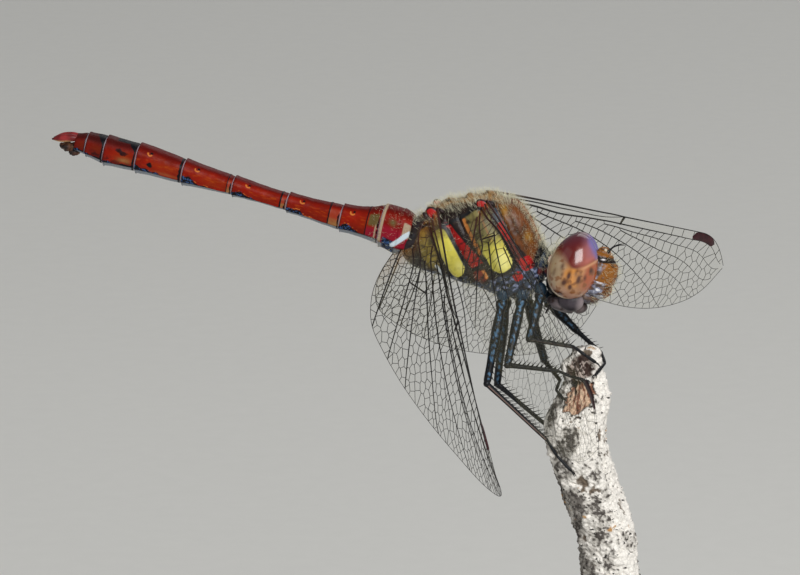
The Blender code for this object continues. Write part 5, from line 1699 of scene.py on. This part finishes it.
class BuildStand(bpy.types.Operator):
    """Build the round display base and the short rod that holds the twig"""

    bl_idname = "object.dragonfly_stand"
    bl_label = "Stand"

    def execute(self, context):
        floor_point = -np.array(THORAX_ABOVE_BASE)
        low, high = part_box("stand_base")
        radius, height = (high[0] - low[0]) / 2 / MM, (high[2] - low[2]) / MM
        profile = [(0.01, 0), (radius - 0.9, 0), *arc((radius - 0.4, 0.4), 0.4, -90, 0)]
        profile += [(radius, height - 1.3), *arc((radius - 0.8, height - 0.8), 0.8, 0, 90, 12)]
        groove = radius - 2.6
        profile += [(groove + 0.4, height), (groove + 0.25, height - 0.22), (groove - 0.25, height - 0.22)]
        profile += [(groove - 0.4, height), (groove - 1.5, height + 0.02), (0.01, height + 0.05)]
        base = turned(profile, floor_point, 160)
        make_piece("stand_base_turned", base, self.wood(), ["stand_base"], in_body=False)
        low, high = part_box("stand_rod")
        across = (high[0] - low[0]) / 2 / MM
        middle = [(low[0] + high[0]) / 2 / MM, (low[1] + high[1]) / 2 / MM, 0]
        bottom, top = low[2] / MM, high[2] / MM
        profile = [(0.01, bottom), (across + 0.9, bottom + 0.05)]
        profile += arc((across + 0.8, bottom + 0.9), 0.3, 0, 90, 6)
        profile += [(across, bottom + 1.3), (across, top - 2.4), (across + 0.75, top - 2.2)]
        profile += [(across + 0.85, top - 0.3), (across + 0.7, top - 0.05), (0.01, top - 0.02)]
        rod = turned(profile, np.array(middle) + floor_point, 64)
        make_piece("stand_rod_turned", rod, self.steel(), ["stand_rod"], in_body=False)
        return {"FINISHED"}

    def wood(self):
        """Ebonised beech, turned and oiled: near black with open grain lines that catch a low sheen."""
        material, tree, place = start_material("ebonised beech, turned and oiled")
        stretch = add_node(tree, "Mapping", {"Vector": place, "Scale": (1, 9, 9)})
        grain_settings = {"Vector": stretch.outputs[0], "Scale": 1 / (3 * MM), "Detail": 6, "Distortion": 0.4}
        grain = add_node(tree, "TexNoise", grain_settings).outputs["Fac"]
        tint = add_node(
            tree, "ValToRGB", {"Fac": grain},
            [(0.35, "#120D0A"), (0.55, "#2A1E17"), (0.7, "#3A2A20")],
        ).outputs["Color"]
        polish = {"Value": grain, "To Min": 0.5, "To Max": 0.3}
        gloss = add_node(tree, "MapRange", polish).outputs[0]
        finish_material(tree, grain, 0.03, Base_Color=tint, Roughness=gloss, IOR=1.5)
        return material

    def steel(self):
        """Stainless steel, turned and brushed: fine rings round the rod stretch its highlights."""
        material, tree, place = start_material("stainless steel, turned and brushed")
        stretch = add_node(tree, "Mapping", {"Vector": place, "Scale": (1, 1, 30)})
        ring_settings = {"Vector": stretch.outputs[0], "Scale": 1 / (2 * MM), "Detail": 3}
        rings = add_node(tree, "TexNoise", ring_settings).outputs["Fac"]
        tint = add_node(
            tree, "ValToRGB", {"Fac": rings}, [(0.3, "#8E8F90"), (0.7, "#C4C5C6")],
        ).outputs["Color"]
        gloss = add_node(tree, "MapRange", {"Value": rings, "To Min": 0.22, "To Max": 0.42}).outputs[0]
        finish_material(tree, rings, 0.01, Base_Color=tint, Roughness=gloss, Metallic=1)
        return material


# ---- stage ----

WORLD_STRENGTH = 0.27
FLOOR_RADIUS = 6                        # metres
FLOOR_GAP = 0.0002                      # metres, so that the base and the floor don't share a plane


class BuildStage(bpy.types.Operator):
    """Build the pale floor, the soft studio lights and the camera"""

    bl_idname = "object.dragonfly_stage"
    bl_label = "Stage"

    def execute(self, context):
        scene = context.scene
        middle = thorax_point()
        floor_mesh = bpy.data.meshes.new("floor")
        disc = bmesh.new()
        bmesh.ops.create_circle(disc, cap_ends=True, segments=96, radius=FLOOR_RADIUS)
        disc.to_mesh(floor_mesh)
        disc.free()
        material, tree, place = start_material("studio paper, matt")
        tooth = add_node(tree, "TexNoise", {"Vector": place, "Scale": 1 / (2 * MM), "Detail": 2})
        tint = add_node(
            tree, "ValToRGB", {"Fac": tooth.outputs["Fac"]}, [(0, "#DEDDD8"), (1, "#E2E1DC")]
        ).outputs["Color"]
        finish_material(tree, None, 0, Base_Color=tint, Roughness=0.95, Specular_IOR_Level=0.1)
        floor_mesh.materials.append(material)
        floor = bpy.data.objects.new("floor", floor_mesh)
        scene.collection.objects.link(floor)
        floor.location.z = -FLOOR_GAP

        world = bpy.data.worlds.new("studio")
        world.use_nodes = True
        background = world.node_tree.nodes["Background"]
        background.inputs["Color"].default_value = linear("#E4E6E8")
        background.inputs["Strength"].default_value = WORLD_STRENGTH
        scene.world = world
        # The plain view keeps the reds and yellows as deep as their hex values.
        scene.view_settings.view_transform = "Standard"
        # the way to each light, its distance and size in metres, and its watts
        for name, way, distance, size, power in (
            ("key", (0.3, -0.76, 0.58), 0.7, 0.42, 4.5),
            ("fill", (-0.7, -0.45, 0.55), 0.8, 0.7, 0.6),
            ("back", (0.3, 0.85, 0.75), 0.8, 0.5, 0.8),
        ):
            light = bpy.data.lights.new(name, "AREA")
            light.size, light.energy = size, power
            lamp = bpy.data.objects.new(name, light)
            scene.collection.objects.link(lamp)
            lamp.location = middle + Vector(way).normalized() * distance
            lamp.rotation_euler = Vector(way).to_track_quat("Z", "Y").to_euler()

        data = bpy.data.cameras.new("camera")
        data.sensor_width = SENSOR_WIDTH
        data.lens = SENSOR_WIDTH * CAMERA_DISTANCE / VIEW_WIDTH
        data.clip_start = 0.001
        camera = bpy.data.objects.new("camera", data)
        scene.collection.objects.link(camera)
        right = Vector((1, 0, 0))
        up = Vector((0, math.sin(CAMERA_TILT), math.cos(CAMERA_TILT)))
        back = right.cross(up)
        aim = middle + (right * CAMERA_AIM[0] + up * CAMERA_AIM[1]) * MM
        turn = Matrix((right, up, back)).transposed().to_4x4()
        camera.matrix_world = Matrix.Translation(aim + back * CAMERA_DISTANCE * MM) @ turn
        scene.camera = camera
        return {"FINISHED"}


# ---- add-on ----

OPERATORS = (
    BuildStage, BuildAbdomen, BuildThorax, BuildHead, BuildWings, BuildLegs, BuildCoat, BuildPerch,
    BuildStand,
)


class DragonflyPanel(bpy.types.Panel):
    """Sizes, colours and one button for each group of pieces"""

    bl_label = "Dragonfly"
    bl_idname = "VIEW3D_PT_dragonfly"
    bl_space_type = "VIEW_3D"
    bl_region_type = "UI"
    bl_category = "Dragonfly"

    def draw(self, context):
        for group in (context.scene.dragonfly_sizes, context.scene.dragonfly_colours):
            for name in group.__annotations__:
                self.layout.prop(group, name)
        for operator in OPERATORS:
            self.layout.operator(operator.bl_idname)


CLASSES = (DragonflySizes, DragonflyColours, *OPERATORS, DragonflyPanel)


def register():
    for each in CLASSES:
        bpy.utils.register_class(each)
    bpy.types.Scene.dragonfly_sizes = bpy.props.PointerProperty(type=DragonflySizes)
    bpy.types.Scene.dragonfly_colours = bpy.props.PointerProperty(type=DragonflyColours)


def unregister():
    del bpy.types.Scene.dragonfly_colours
    del bpy.types.Scene.dragonfly_sizes
    for each in reversed(CLASSES):
        bpy.utils.unregister_class(each)


def main():
    """Build everything in order."""
    register()
    for name in ("stage", "abdomen", "thorax", "head", "wings", "legs", "coat", "perch", "stand"):
        getattr(bpy.ops.object, f"dragonfly_{name}")()


if __name__ == "__main__":
    main()
